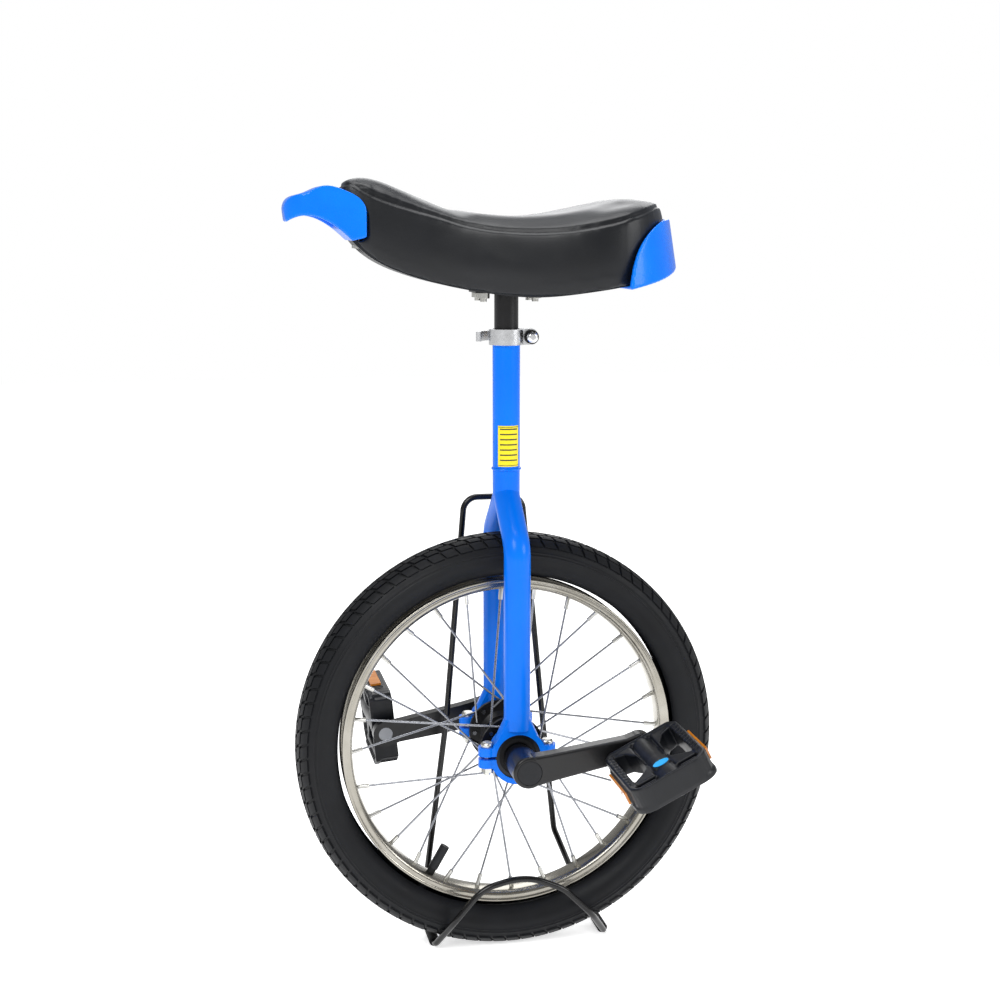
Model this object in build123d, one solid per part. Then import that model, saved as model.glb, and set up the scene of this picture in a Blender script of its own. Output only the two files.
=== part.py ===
from build123d import *
import math
import os

os.makedirs("parts", exist_ok=True)

# A learner's unicycle with a 16-inch wheel, standing in its bent-wire display stand.
# Millimetres. +X is forward, +Y the rider's left, +Z up; the origin is on the ground
# under the middle of the axle.

# ---- wheel ----
wheel_r = 201.0             # over the tread
tyre_half_width = 25.5
casing_wall = 3.2           # tyre carcass with its tread
tube_gap = 0.4              # inner tube to carcass
tube_wall = 1.2
tube_half_h = 15.0
tube_half_w = 17.0
rim_flange_r = 159.0        # outer edge of the rim's flanges
rim_floor_r = 148.0         # inner face of the rim, where the nipples sit
rim_half_width = 14.0
rim_wall = 2.0
tape_t = 0.6
spoke_count = 28
spoke_d = 2.0
spoke_start_deg = -2.0      # first nipple, measured from +X towards +Z
spoke_crosses = 2           # spokes of its own flange that each spoke crosses
spoke_stand_off = 2.4       # outer spokes clear the flange's edge by leaving it this much
nipple_d = 4.0
nipple_len = 12.0
flange_pcd_r = 25.5
flange_r = 30.5
flange_y = 29.0             # middle of each hub flange
flange_t = 4.0
hub_barrel_r = 16.0
valve_deg = -60.0           # midway between two nipples
valve_d = 7.7
valve_len = 26.0            # past the inner face of the rim
cap_d = 9.0
cap_len = 24.0

# ---- axle, bearings and cranks ----
axle_d = 20.0
bearing_od = 42.0
bearing_w = 12.0
bearing_y = 51.0            # middle of each bearing, also of each fork leg
ball_d = 5.8
ball_count = 9
axle_neck_r = 13.0          # spacer between bearing and crank
taper_across = 13.0         # square end of the axle
crank_len = 105.0
crank_deg = 10.0            # the left crank points back, this far above level
crank_in_y = 76.0           # inner face of the boss
crank_out_y = 108.0         # outer face of boss and arm
crank_arm_t = 14.0
crank_boss_r = 14.7
crank_root_w = 25.0
crank_tip_w = 21.0
crank_eye_r = 12.5
taper_depth = 19.0          # how deep the square end sits in the boss
dust_cap_d = 23.0

# ---- pedals ----
pedal_gap = 5.0             # crank face to pedal body
pedal_w = 103.0             # along the spindle
pedal_l = 78.0              # across the spindle
pedal_t = 25.0
pedal_rail = 7.0
pedal_end = 11.0
pedal_barrel_d = 24.0
spindle_d = 9.0
spindle_thread_d = 14.0
pedal_tilt_left = 26.8      # rear edge up
pedal_tilt_right = -84.0    # hangs almost upright

# ---- frame ----
leg_d = 24.5
tube_wall_t = 1.8
tube_d = 25.4
crown_z = 438.0             # where the two arms' centre lines meet
leg_bend_z = 396.0          # where a leg's line turns inwards
crown_bottom_z = 380.0
crown_top_z = 462.0
crown_bend_r = 42.0
leg_bottom_z = 236.0
tube_top_z = 589.0
tube_slot_w = 2.4
tube_slot_len = 30.0
holder_w = 16.0             # along the axle
holder_wall = 5.0
holder_gap = 3.0            # between upper half and cap
ear_x = 28.0                # clamp bolt from the axle's plane
ear_r = 8.5
ear_t = 8.0
shoulder_z = 216.0
shoulder_r = 23.0
clamp_bolt_d = 6.0
clamp_head_d = 12.0
clamp_head_h = 4.5
clamp_nut_h = 5.0
sticker_bottom_z = 465.0
sticker_top_z = 503.0

# ---- seat post, collar and quick release ----
post_d = 22.2
post_wall = 2.0
post_fit = 0.05             # running clearance all round
post_bottom_z = 475.0
collar_bottom_z = 577.0
collar_h = 14.5
collar_t = 3.2
collar_fit = 0.05
ear_pair_t = 5.0
ear_slot = 3.0
skewer_d = 5.0
lever_t = 9.0               # lever blade, along Z
lever_thick = 3.6
lever_cam_r = 4.4
lever_tip_share = 0.28      # how far round the front the blade's tip sits
cam_pin_r = 1.5

# ---- saddle ----
plate_l = 64.0
plate_w = 44.0
plate_t = 4.0
plate_top_z = 629.0
pocket_margin = 2.0
base_t = 4.0
base_inset = 8.0           # cover wraps this far under the edge
saddle_bolt_x = 24.0
saddle_bolt_y = 14.0
saddle_bolt_d = 6.0
saddle_head_r = 7.0
saddle_head_h = 2.5
handle_half_w = 31.0
handle_wall = 4.0
handle_tip_x = 203.2
bumper_low_z = 629.0        # the wall is thick here, and twice that behind
bumper_low_t = 7.0
bumper_high_z = 693.0
bumper_high_t = 2.0

# ---- stand ----
wire_d = 6.0
stand_loop_y = -72.0        # plane of the tall loop, outside the right fork leg
stand_arch_y = 40.0         # plane of the low arch, on the left side of the tyre
stand_toe_y = 4.0           # where the floor rods turn up into the arch
stand_top_z = 424.0
stand_arch_z = 75.0
foot_d = 10.0
foot_len = 26.0
toe_front_x = 71.5
toe_rear_x = -95.0

# ---- values that follow from the ones above ----
axle_z = wheel_r
post_hole_d = post_d + 2 * post_fit
collar_z = collar_bottom_z + collar_h / 2
ring_r = tube_d / 2 + collar_fit + collar_t
holder_r = bearing_od / 2 + holder_wall
crank_x = -crank_len * math.cos(math.radians(crank_deg))
crank_rise = crank_len * math.sin(math.radians(crank_deg))
pedal_y0 = crank_out_y + pedal_gap
pedal_y1 = pedal_y0 + pedal_w
spindle_end_y = pedal_y1 - 10.0
bearing_in_y = bearing_y - bearing_w / 2
bearing_out_y = bearing_y + bearing_w / 2
ball_ring_r = (axle_d + bearing_od) / 4
tube_centre_r = wheel_r - casing_wall - tube_gap - tube_half_h
skewer_x = -(ring_r + 6.0)
skewer_z = collar_z
SIDES = {"left": 1, "right": -1}


def rod(start, axis, radius, length):
    """A cylinder from start along axis."""
    return Solid.make_cylinder(radius, length, Plane(origin=start, z_dir=axis))


def rod_between(start, end, radius):
    way = Vector(*end) - Vector(*start)
    return rod(start, way.normalized(), radius, way.length)


def tube(start, axis, r_out, r_in, length):
    outer = rod(start, axis, r_out, length)
    return outer - rod(start, axis, r_in, length)


def block(x0, x1, y0, y1, z0, z1):
    return Solid.make_box(x1 - x0, y1 - y0, z1 - z0, Plane(origin=(x0, y0, z0)))


def hexagon(start, axis, across, length):
    face = Plane(origin=start, z_dir=axis) * RegularPolygon(across / 2, 6, major_radius=False)
    return extrude(face, amount=length)


def side_shape(edges, y0, y1):
    """A solid with the XZ outline given by edges, from y0 to y1."""
    face = make_face(edges)
    return extrude(face.moved(Location((0, y0, 0))), amount=y1 - y0, dir=(0, 1, 0))


def side_polygon(points, y0, y1):
    return side_shape(Polyline(*[(x, 0, z) for x, z in points], close=True), y0, y1)


def turned(points):
    """A ring about the axle whose section is a list of (y, radius) points."""
    line = Polyline(*[(0, y, axle_z + r) for y, r in points], close=True)
    return revolve(make_face(line), Axis((0, 0, axle_z), (0, 1, 0)), 360)


def at_wheel(radius, degrees, y=0.0):
    turn = math.radians(degrees)
    return (radius * math.cos(turn), y, axle_z + radius * math.sin(turn))


def bent_wire(points, radii, radius):
    path = FilletPolyline(*points, radius=radii)
    return sweep(Plane(origin=path @ 0, z_dir=path % 0) * Circle(radius), path=path)


def save(name, *solids):
    shape = solids[0] if len(solids) == 1 else Compound(children=list(solids))
    shape.label = name
    export_step(shape, f"parts/{name}.step")


# ---------------------------------------------------------------- frame
def fork_arm(side, radius):
    """One bent arm of the crown, from the middle down to the top of its leg."""
    sign = SIDES[side]
    points = [
        (0, 0, crown_z),
        (0, sign * bearing_y, leg_bend_z),
        (0, sign * bearing_y, crown_bottom_z - 1.0),
    ]
    path = FilletPolyline(*points, radius=crown_bend_r / 2)
    arm = sweep(Plane(origin=path @ 0, z_dir=path % 0) * Circle(radius), path=path)
    return arm - block(-50, 50, -90, 90, crown_bottom_z - 20, crown_bottom_z)


def fork_crown():
    neck = rod((0, 0, crown_z - 6), (0, 0, 1), tube_d / 2, crown_top_z - crown_z + 6)
    middle = Solid.make_sphere(leg_d / 2, Plane(origin=(0, 0, crown_z)), angle1=-90)
    crown = fork_arm("left", leg_d / 2) + fork_arm("right", leg_d / 2) + neck + middle
    for side in SIDES:
        crown -= fork_arm(side, leg_d / 2 - tube_wall_t)
    socket_z = post_bottom_z - 24.0
    crown -= rod((0, 0, socket_z), (0, 0, 1), post_hole_d / 2, crown_top_z - socket_z + 1)
    return crown


def seat_tube():
    length = tube_top_z - crown_top_z
    body = tube((0, 0, crown_top_z), (0, 0, 1), tube_d / 2, post_hole_d / 2, length)
    slot_z = tube_top_z - tube_slot_len
    return body - block(-tube_d, 0, -tube_slot_w / 2, tube_slot_w / 2, slot_z, tube_top_z + 1)


def fork_leg(side):
    start = (0, SIDES[side] * bearing_y, leg_bottom_z)
    length = crown_bottom_z - leg_bottom_z
    return tube(start, (0, 0, 1), leg_d / 2, leg_d / 2 - tube_wall_t, length)


def holder_half(side, upper):
    """Upper half or cap of a bearing holder: half a ring with two bolt ears."""
    sign = SIDES[side]
    y0 = sign * bearing_y - holder_w / 2
    up = 1 if upper else -1
    split = axle_z + up * holder_gap / 2
    ring = rod((0, y0, axle_z), (0, 1, 0), holder_r, holder_w)
    ear_far = split + up * ear_t
    ears = block(-ear_x, ear_x, y0, y0 + holder_w, min(split, ear_far), max(split, ear_far))
    for end in (-1, 1):
        ears += rod((end * ear_x, y0 + holder_w / 2, min(split, ear_far)), (0, 0, 1), ear_r, ear_t)
    half = ring + ears
    if upper:
        low = Plane(origin=(0, sign * bearing_y, shoulder_z - 4))
        cone = Solid.make_cone(shoulder_r, leg_d / 2, leg_bottom_z - shoulder_z + 4, low)
        half += cone & block(-60, 60, y0, y0 + holder_w, axle_z, leg_bottom_z)
        half += rod((0, sign * bearing_y, leg_bottom_z - 10), (0, 0, 1), leg_d / 2, 10)
        half += block(-18, 18, y0, y0 + holder_w, ear_far - 2, shoulder_z)
    beyond = axle_z - 80
    if upper:
        half -= block(-60, 60, y0 - 1, y0 + holder_w + 1, beyond, split)
    else:
        half -= block(-60, 60, y0 - 1, y0 + holder_w + 1, split, axle_z + 80)
    half -= rod((0, y0 - 1, axle_z), (0, 1, 0), bearing_od / 2, holder_w + 2)
    for end in (-1, 1):
        hole = (end * ear_x, sign * bearing_y, axle_z - 30)
        half -= rod(hole, (0, 0, 1), clamp_bolt_d / 2 + 0.2, 60)
        seat_z = ear_far if upper else ear_far - 20
        half -= rod((end * ear_x, sign * bearing_y, seat_z), (0, 0, 1), clamp_head_d / 2 + 0.5, 20)
    return half


def clamp_bolt(x, y):
    """Button-head bolt through both ears."""
    seat_z = axle_z + holder_gap / 2 + ear_t
    tip_z = axle_z - holder_gap / 2 - ear_t - clamp_nut_h - 3.0
    head = rod((x, y, seat_z), (0, 0, 1), clamp_head_d / 2, clamp_head_h)
    head = fillet(head.edges().filter_by(GeomType.CIRCLE).sort_by(Axis.Z)[-1], clamp_head_h * 0.6)
    return head + rod((x, y, tip_z), (0, 0, 1), clamp_bolt_d / 2, seat_z - tip_z)


def clamp_nut(x, y):
    top_z = axle_z - holder_gap / 2 - ear_t
    nut = hexagon((x, y, top_z - clamp_nut_h), (0, 0, 1), 10.0, clamp_nut_h)
    return nut - rod((x, y, top_z - 20), (0, 0, 1), clamp_bolt_d / 2, 40)


def info_sticker():
    """Thin printed label, a curved patch on the left of the tube."""
    height = sticker_top_z - sticker_bottom_z
    skin = tube((0, 0, sticker_bottom_z), (0, 0, 1), tube_d / 2 + 0.25, tube_d / 2, height)
    wedge = block(-9.5, 9.5, 2, tube_d, sticker_bottom_z, sticker_top_z)
    return skin & wedge


save("fork_crown", fork_crown())
save("seat_tube", seat_tube())
for side in SIDES:
    save(f"fork_leg_{side}", fork_leg(side))
    save(f"bearing_holder_{side}", holder_half(side, True))
    save(f"bearing_cap_{side}", holder_half(side, False))
clamp_places = [(x, y) for x in (-ear_x, ear_x) for y in (-bearing_y, bearing_y)]
save("clamp_bolts", *[clamp_bolt(x, y) for x, y in clamp_places])
save("clamp_nuts", *[clamp_nut(x, y) for x, y in clamp_places])
save("info_sticker", info_sticker())


# ---------------------------------------------------------------- bearings
def ball_groove(sign):
    centre = (0, sign * bearing_y, axle_z + ball_ring_r)
    circle = Plane(origin=centre, z_dir=(1, 0, 0)) * Circle(ball_d / 2 + 0.1)
    return revolve(circle, Axis((0, 0, axle_z), (0, 1, 0)), 360)


race_t = (bearing_od - axle_d) / 2 * 0.3
inner_race_r = axle_d / 2 + race_t
outer_race_r = bearing_od / 2 - race_t
outer_rings = []
inner_rings = []
balls = []
seals = []
for side, sign in SIDES.items():
    start = (0, sign * bearing_y - bearing_w / 2, axle_z)
    groove = ball_groove(sign)
    outer_rings.append(tube(start, (0, 1, 0), bearing_od / 2, outer_race_r, bearing_w) - groove)
    inner_rings.append(tube(start, (0, 1, 0), inner_race_r, axle_d / 2, bearing_w) - groove)
    for k in range(ball_count):
        place = at_wheel(ball_ring_r, 360 * k / ball_count, sign * bearing_y)
        balls.append(Solid.make_sphere(ball_d / 2, Plane(origin=place), angle1=-90))
    for end in (-1, 1):
        seal_y = sign * bearing_y + end * (bearing_w / 2 - 1.2) - 0.5
        seals.append(tube((0, seal_y, axle_z), (0, 1, 0), outer_race_r, inner_race_r + 0.25, 1.0))
save("bearing_outer_rings", *outer_rings)
save("bearing_inner_rings", *inner_rings)
save("bearing_balls", *balls)
save("bearing_seals", *seals)


# ---------------------------------------------------------------- wheel
def flange_sign(k):
    """Which flange a spoke is on: even ones on the right, odd ones on the left."""
    return -1 if k % 2 == 0 else 1


def spoke_lean(k):
    """Pairs of neighbours on one flange lean opposite ways, outside and inside it."""
    return 1 if (k // 2) % 2 == 0 else -1


def nipple_angle(k):
    return spoke_start_deg + 360 * k / spoke_count


def hub_hole_angle(k):
    lead = spoke_crosses * 720 / spoke_count
    return nipple_angle(k) + spoke_lean(k) * lead


def spoke_off_flange(k):
    """From the flange's middle to the spoke's line beside it."""
    clear = spoke_stand_off if spoke_lean(k) > 0 else 0.2
    return flange_t / 2 + spoke_d / 2 + clear


def spoke_ends(k):
    y_hub = flange_sign(k) * (flange_y + spoke_lean(k) * spoke_off_flange(k))
    hub = at_wheel(flange_pcd_r, hub_hole_angle(k), y_hub)
    rim = at_wheel(rim_floor_r, nipple_angle(k), flange_sign(k) * 2.0)
    return hub, rim


def spoke(k):
    """A straight spoke with its elbow through the flange and a round head."""
    hub, rim = spoke_ends(k)
    inward = -flange_sign(k) * spoke_lean(k)
    shank = rod_between(hub, rim, spoke_d / 2)
    elbow_len = flange_t / 2 + spoke_off_flange(k)
    elbow = rod(hub, (0, inward, 0), spoke_d / 2, elbow_len)
    head_start = (hub[0], hub[1] + inward * elbow_len, hub[2])
    head = rod(head_start, (0, inward, 0), spoke_d, 1.2)
    knuckle = Solid.make_sphere(spoke_d / 2, Plane(origin=hub), angle1=-90)
    return shank + elbow + head + knuckle


def nipple(k):
    """Brass nipple: hexagon-like barrel on the spoke and a domed head in the rim."""
    hub, rim = spoke_ends(k)
    way = (Vector(*rim) - Vector(*hub)).normalized()
    foot = Vector(*rim) - way * (nipple_len - 1.0)
    barrel = rod(foot, way, nipple_d / 2, nipple_len + rim_wall + 1.0)
    head_at = Vector(*rim) + way * (rim_wall + 1.2)
    head = rod(head_at, way, nipple_d / 2 + 1.0, 1.6)
    start = foot - way * 5
    hole = rod(start, way, spoke_d / 2, nipple_len + 5 - 1.0)
    return barrel + head - hole


def hub_shell():
    """Steel hub shell: a barrel with a drilled flange at each end."""
    half = flange_y + flange_t / 2
    body = turned([
        (-half, axle_d / 2), (-half, flange_r), (-half + flange_t, flange_r),
        (-half + flange_t, hub_barrel_r + 4), (-half + flange_t + 4, hub_barrel_r),
        (half - flange_t - 4, hub_barrel_r), (half - flange_t, hub_barrel_r + 4),
        (half - flange_t, flange_r), (half, flange_r), (half, axle_d / 2),
    ])
    for k in range(spoke_count):
        x, _, z = at_wheel(flange_pcd_r, hub_hole_angle(k))
        start = (x, flange_sign(k) * flange_y - flange_t, z)
        body -= rod(start, (0, 1, 0), spoke_d / 2 + 0.15, 2 * flange_t)
    return body


def axle():
    """One shaft from crank to crank, with a collar inside each bearing and square ends."""
    shaft = rod((0, -bearing_out_y - 3, axle_z), (0, 1, 0), axle_d / 2, 2 * (bearing_out_y + 3))
    step_y = bearing_out_y + 3
    for sign in (-1, 1):
        collar_y = flange_y + flange_t / 2
        collar_len = bearing_in_y - collar_y
        low = collar_y if sign > 0 else -bearing_in_y
        shaft += rod((0, low, axle_z), (0, 1, 0), inner_race_r - 0.4, collar_len)
        neck_len = crank_in_y - step_y
        low = step_y if sign > 0 else -crank_in_y
        shaft += rod((0, low, axle_z), (0, 1, 0), axle_neck_r, neck_len)
        low = crank_in_y if sign > 0 else -crank_in_y - taper_depth
        half = taper_across / 2
        shaft += block(-half, half, low, low + taper_depth, axle_z - half, axle_z + half)
        thread_len = taper_depth + 6
        low = crank_in_y + taper_depth - thread_len if sign > 0 else -crank_in_y - taper_depth
        shaft -= rod((0, low, axle_z), (0, 1, 0), 4.0, thread_len)
    return shaft.rotate(Axis((0, 0, axle_z), (0, 1, 0)), crank_deg)


def rim():
    """Single-wall steel rim: two hooked flanges and a shallow well with nipple holes."""
    w = rim_half_width
    ledge_r = rim_floor_r + 5.0
    outer = [(-w, rim_flange_r), (-w, ledge_r - 1), (-w * 0.5, rim_floor_r), (w * 0.5, rim_floor_r)]
    outer += [(w, ledge_r - 1), (w, rim_flange_r)]
    t = rim_wall
    inner = [(w - t, rim_flange_r), (w - t, ledge_r + t * 0.5), (w * 0.5 - 0.5, rim_floor_r + t)]
    inner += [(-w * 0.5 + 0.5, rim_floor_r + t), (-w + t, ledge_r + t * 0.5), (-w + t, rim_flange_r)]
    body = turned(outer + inner)
    for k in range(spoke_count):
        hub, end = spoke_ends(k)
        way = (Vector(*end) - Vector(*hub)).normalized()
        start = Vector(*end) - way * 6
        body -= rod(start, way, nipple_d / 2 + 0.15, 16)
    hole = at_wheel(rim_floor_r - 5, valve_deg)
    return body - rod(hole, valve_way(), valve_d / 2 + 0.3, 14)


def valve_way():
    turn = math.radians(valve_deg)
    return (math.cos(turn), 0, math.sin(turn))


def rim_tape():
    """Rubber band that covers the nipple heads, with a hole for the valve."""
    r = rim_floor_r + rim_wall + 4.0
    w = rim_half_width * 0.5 - 1.0
    band = turned([(-w, r), (w, r), (w, r + tape_t), (-w, r + tape_t)])
    return band - rod(at_wheel(r - 4, valve_deg), valve_way(), valve_d / 2 + 0.3, 10)


def tyre_section(inset):
    """One side of the tyre's section after the other: bead, sidewall, tread, sidewall, bead."""
    w = tyre_half_width - inset
    top = wheel_r - inset
    bead_w = rim_half_width - rim_wall - 0.2 - inset
    foot = rim_floor_r + 6.5
    lip = rim_flange_r + 1.5
    shoulder = (w * 0.74, top - 7.0)
    wide = (w, (wheel_r + rim_flange_r) / 2)
    low = (w * 0.93, lip + 8.5 + inset * 0.4)
    half = [(bead_w, lip), low, wide, shoulder]
    line = [(-y, r) for y, r in half] + [(0, top)] + list(reversed(half))
    arch = Spline(*[(0, y, axle_z + r) for y, r in line])
    left = Line((0, -bead_w, axle_z + foot), arch @ 0)
    right = Line(arch @ 1, (0, bead_w, axle_z + foot))
    return [left, arch, right]


def tyre():
    outer = tyre_section(0)
    inner = tyre_section(casing_wall)
    ends = [Line(outer[0] @ 0, inner[0] @ 0), Line(outer[2] @ 1, inner[2] @ 1)]
    section = make_face(outer + inner + ends)
    return revolve(section, Axis((0, 0, axle_z), (0, 1, 0)), 360)


def inner_tube():
    """Butyl tube inside the carcass."""
    place = Plane(origin=(0, 0, axle_z + tube_centre_r), z_dir=(1, 0, 0), x_dir=(0, 1, 0))
    outer = Ellipse(tube_half_w, tube_half_h)
    inner = Ellipse(tube_half_w - tube_wall, tube_half_h - tube_wall)
    return revolve(place * outer - place * inner, Axis((0, 0, axle_z), (0, 1, 0)), 360)


def valve_stem():
    """Rubber-sleeved valve moulded to the inner tube, pointing at the hub."""
    foot_r = tube_centre_r - tube_half_h - 0.3
    way = tuple(-v for v in valve_way())
    return rod(at_wheel(foot_r, valve_deg), way, valve_d / 2, foot_r - rim_floor_r + valve_len)


def valve_cap():
    """Ribbed plastic cap over the end of the stem."""
    way = tuple(-v for v in valve_way())
    start_r = rim_floor_r - 5.0
    cap = rod(at_wheel(start_r, valve_deg), way, cap_d / 2, cap_len)
    inside = rod(at_wheel(start_r + 1, valve_deg), way, valve_d / 2 + 0.05, valve_len - 5.0 + 1 + 0.4)
    return cap - inside


save("hub_shell", hub_shell())
save("axle", axle())
save("spokes", *[spoke(k) for k in range(spoke_count)])
save("spoke_nipples", *[nipple(k) for k in range(spoke_count)])
save("rim", rim())
save("rim_tape", rim_tape())
save("tyre", tyre())
save("inner_tube", inner_tube())
save("valve_stem", valve_stem())
save("valve_cap", valve_cap())


# ---------------------------------------------------------------- cranks and pedals
def mirrored_for(side, shape):
    """The right-hand set is the left-hand one turned half a turn about the axle's middle."""
    if side == "left":
        return shape
    return shape.rotate(Axis((0, 0, axle_z), (0, 1, 0)), 180).mirror(Plane.XZ)


def crank():
    """Forged arm along -X from the boss to the pedal eye, then set at its angle."""
    eye_x = -crank_len
    arm_y0 = crank_out_y - crank_arm_t
    arm = side_polygon([
        (-6, axle_z + crank_boss_r - 1), (-24, axle_z + crank_root_w / 2),
        (eye_x + 12, axle_z + crank_tip_w / 2), (eye_x, axle_z + crank_eye_r),
        (eye_x, axle_z - crank_eye_r), (eye_x + 12, axle_z - crank_tip_w / 2),
        (-24, axle_z - crank_root_w / 2), (-6, axle_z - crank_boss_r + 1),
    ], arm_y0, crank_out_y)
    arm += rod((eye_x, arm_y0, axle_z), (0, 1, 0), crank_eye_r, crank_arm_t)
    arm += rod((0, arm_y0, axle_z), (0, 1, 0), crank_boss_r, crank_arm_t)
    arm = fillet(arm.faces().sort_by(Axis.Y)[-1].edges(), 2.5)
    boss = rod((0, crank_in_y, axle_z), (0, 1, 0), crank_boss_r, crank_out_y - crank_in_y - 4)
    arm += boss
    half = taper_across / 2
    taper_end = crank_in_y + taper_depth
    arm -= block(-half, half, crank_in_y - 1, taper_end, axle_z - half, axle_z + half)
    arm -= rod((0, taper_end - 1, axle_z), (0, 1, 0), 4.3, 20)
    arm -= rod((0, taper_end + 1, axle_z), (0, 1, 0), dust_cap_d / 2, 30)
    arm -= rod((eye_x, arm_y0 - 1, axle_z), (0, 1, 0), spindle_thread_d / 2, 30)
    return arm.rotate(Axis((0, 0, axle_z), (0, 1, 0)), crank_deg)


def crank_bolt():
    """Flanged bolt that pulls the crank onto the square end."""
    seat_y = crank_in_y + taper_depth + 1
    head = hexagon((0, seat_y, axle_z), (0, 1, 0), 12.0, 5.0)
    head += rod((0, seat_y, axle_z), (0, 1, 0), 8.5, 1.5)
    return head + rod((0, seat_y - 20, axle_z), (0, 1, 0), 4.0, 20)


def crank_cap():
    """Press-in dust cap, flush with the boss."""
    cap = rod((0, crank_out_y - 3.5, axle_z), (0, 1, 0), dust_cap_d / 2, 3.5)
    return fillet(cap.faces().sort_by(Axis.Y)[-1].edges(), 1.0)


def pedal_spindle():
    """Steel spindle screwed into the crank eye, with a collar and a thinner end."""
    x, z = crank_x, axle_z + crank_rise
    low = crank_out_y - crank_arm_t + 1
    body = rod((x, low, z), (0, 1, 0), spindle_thread_d / 2, pedal_y0 + 3 - low)
    body += rod((x, crank_out_y, z), (0, 1, 0), spindle_thread_d / 2 + 2, 2.5)
    return body + rod((x, pedal_y0 + 3, z), (0, 1, 0), spindle_d / 2, spindle_end_y - pedal_y0 - 3)


def pedal_place(side, shape):
    """Puts a shape made around the spindle at the origin where its pedal is."""
    sign = SIDES[side]
    tilt = pedal_tilt_left if side == "left" else pedal_tilt_right
    if side == "right":
        shape = shape.mirror(Plane.XZ)
    shape = shape.rotate(Axis.Y, tilt)
    return shape.moved(Location((sign * crank_x, 0, axle_z + sign * crank_rise)))


def pedal_body():
    """Moulded pedal: end plates, two gripping rails and the barrel on the spindle."""
    half_l, half_t = pedal_l / 2, pedal_t / 2
    end = [
        (-half_l, -half_t + 6), (-half_l + 6, -half_t), (half_l - 6, -half_t),
        (half_l, -half_t + 6), (half_l, half_t - 6), (half_l - 6, half_t),
        (-half_l + 6, half_t), (-half_l, half_t - 6),
    ]
    body = side_polygon(end, pedal_y0, pedal_y0 + pedal_end)
    body += side_polygon(end, pedal_y1 - pedal_end - 4, pedal_y1)
    for sign in (-1, 1):
        x0, x1 = sorted((sign * half_l, sign * (half_l - pedal_rail)))
        rail = block(x0, x1, pedal_y0 + 2, pedal_y1 - 2, -half_t + 6, half_t - 6)
        edge_x0, edge_x1 = sorted((sign * (half_l - 6), sign * (half_l - pedal_rail - 3)))
        for z0, z1 in ((-half_t, -half_t + 7), (half_t - 7, half_t)):
            rail += block(edge_x0, edge_x1, pedal_y0 + 2, pedal_y1 - 2, z0, z1)
        x0, x1 = sorted((sign * (half_l - 4), sign * (half_l - pedal_rail - 3)))
        rail += block(x0, x1, pedal_y0 + 2, pedal_y1 - 2, -half_t + 3, half_t - 3)
        body += rail
    body += rod((0, pedal_y0, 0), (0, 1, 0), pedal_barrel_d / 2, pedal_w)
    body += block(-15, 15, pedal_y0, pedal_y1, -6, 6)
    body -= rod((0, pedal_y0 - 1, 0), (0, 1, 0), spindle_thread_d / 2 + 3, pedal_w + 2 - 8)
    return body


def pedal_bushes():
    """Inner and outer bearing sleeves pressed into the barrel."""
    bore = spindle_thread_d / 2 + 3
    inner_y = pedal_y0 + 6
    outer_y = pedal_y1 - 28
    sleeves = []
    for y in (inner_y, outer_y):
        sleeves.append(tube((0, y, 0), (0, 1, 0), bore, spindle_d / 2 + 0.05, 12))
    return sleeves


def pedal_nut():
    """Lock nut on the end of the spindle, inside the barrel."""
    x, z = crank_x, axle_z + crank_rise
    nut = hexagon((x, spindle_end_y - 5, z), (0, 1, 0), 14.0, 4.5)
    return nut - rod((x, spindle_end_y - 10, z), (0, 1, 0), spindle_d / 2, 20)


def pedal_reflectors():
    """Two amber reflectors, one in each rail's outer side."""
    found = []
    for sign in (-1, 1):
        x0, x1 = sorted((sign * pedal_l / 2, sign * (pedal_l / 2 + 2.0)))
        middle = (pedal_y0 + pedal_y1) / 2
        found.append(block(x0, x1, middle - 26, middle + 26, -5.5, 5.5))
    return found


for side in SIDES:
    save(f"crank_{side}", mirrored_for(side, crank()))
    save(f"pedal_spindle_{side}", mirrored_for(side, pedal_spindle()))
    save(f"pedal_body_{side}", pedal_place(side, pedal_body()))
    save(f"pedal_bushes_{side}", *[pedal_place(side, s) for s in pedal_bushes()])
    save(f"pedal_nut_{side}", mirrored_for(side, pedal_nut()))
    save(f"pedal_reflectors_{side}", *[pedal_place(side, s) for s in pedal_reflectors()])
save("crank_bolts", *[mirrored_for(side, crank_bolt()) for side in SIDES])
save("crank_caps", *[mirrored_for(side, crank_cap()) for side in SIDES])


# ---------------------------------------------------------------- seat post and quick release
def seat_post():
    length = plate_top_z - plate_t - post_bottom_z
    return tube((0, 0, post_bottom_z), (0, 0, 1), post_d / 2, post_d / 2 - post_wall, length)


def seat_plate():
    """Steel plate welded to the top of the post, drilled for the four saddle bolts."""
    x, y = plate_l / 2, plate_w / 2
    plate = block(-x, x, -y, y, plate_top_z - plate_t, plate_top_z)
    plate = fillet(plate.edges().filter_by(Axis.Z), 6)
    for bolt_x, bolt_y in saddle_bolt_places():
        plate -= rod((bolt_x, bolt_y, plate_top_z - 10), (0, 0, 1), saddle_bolt_d / 2 + 0.2, 20)
    return plate


def saddle_bolt_places():
    return [(x, y) for x in (-saddle_bolt_x, saddle_bolt_x) for y in (-saddle_bolt_y, saddle_bolt_y)]


def ear_edges():
    """Y of the outer face of each collar ear, left then right."""
    return ear_slot / 2 + ear_pair_t, -(ear_slot / 2 + ear_pair_t)


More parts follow.
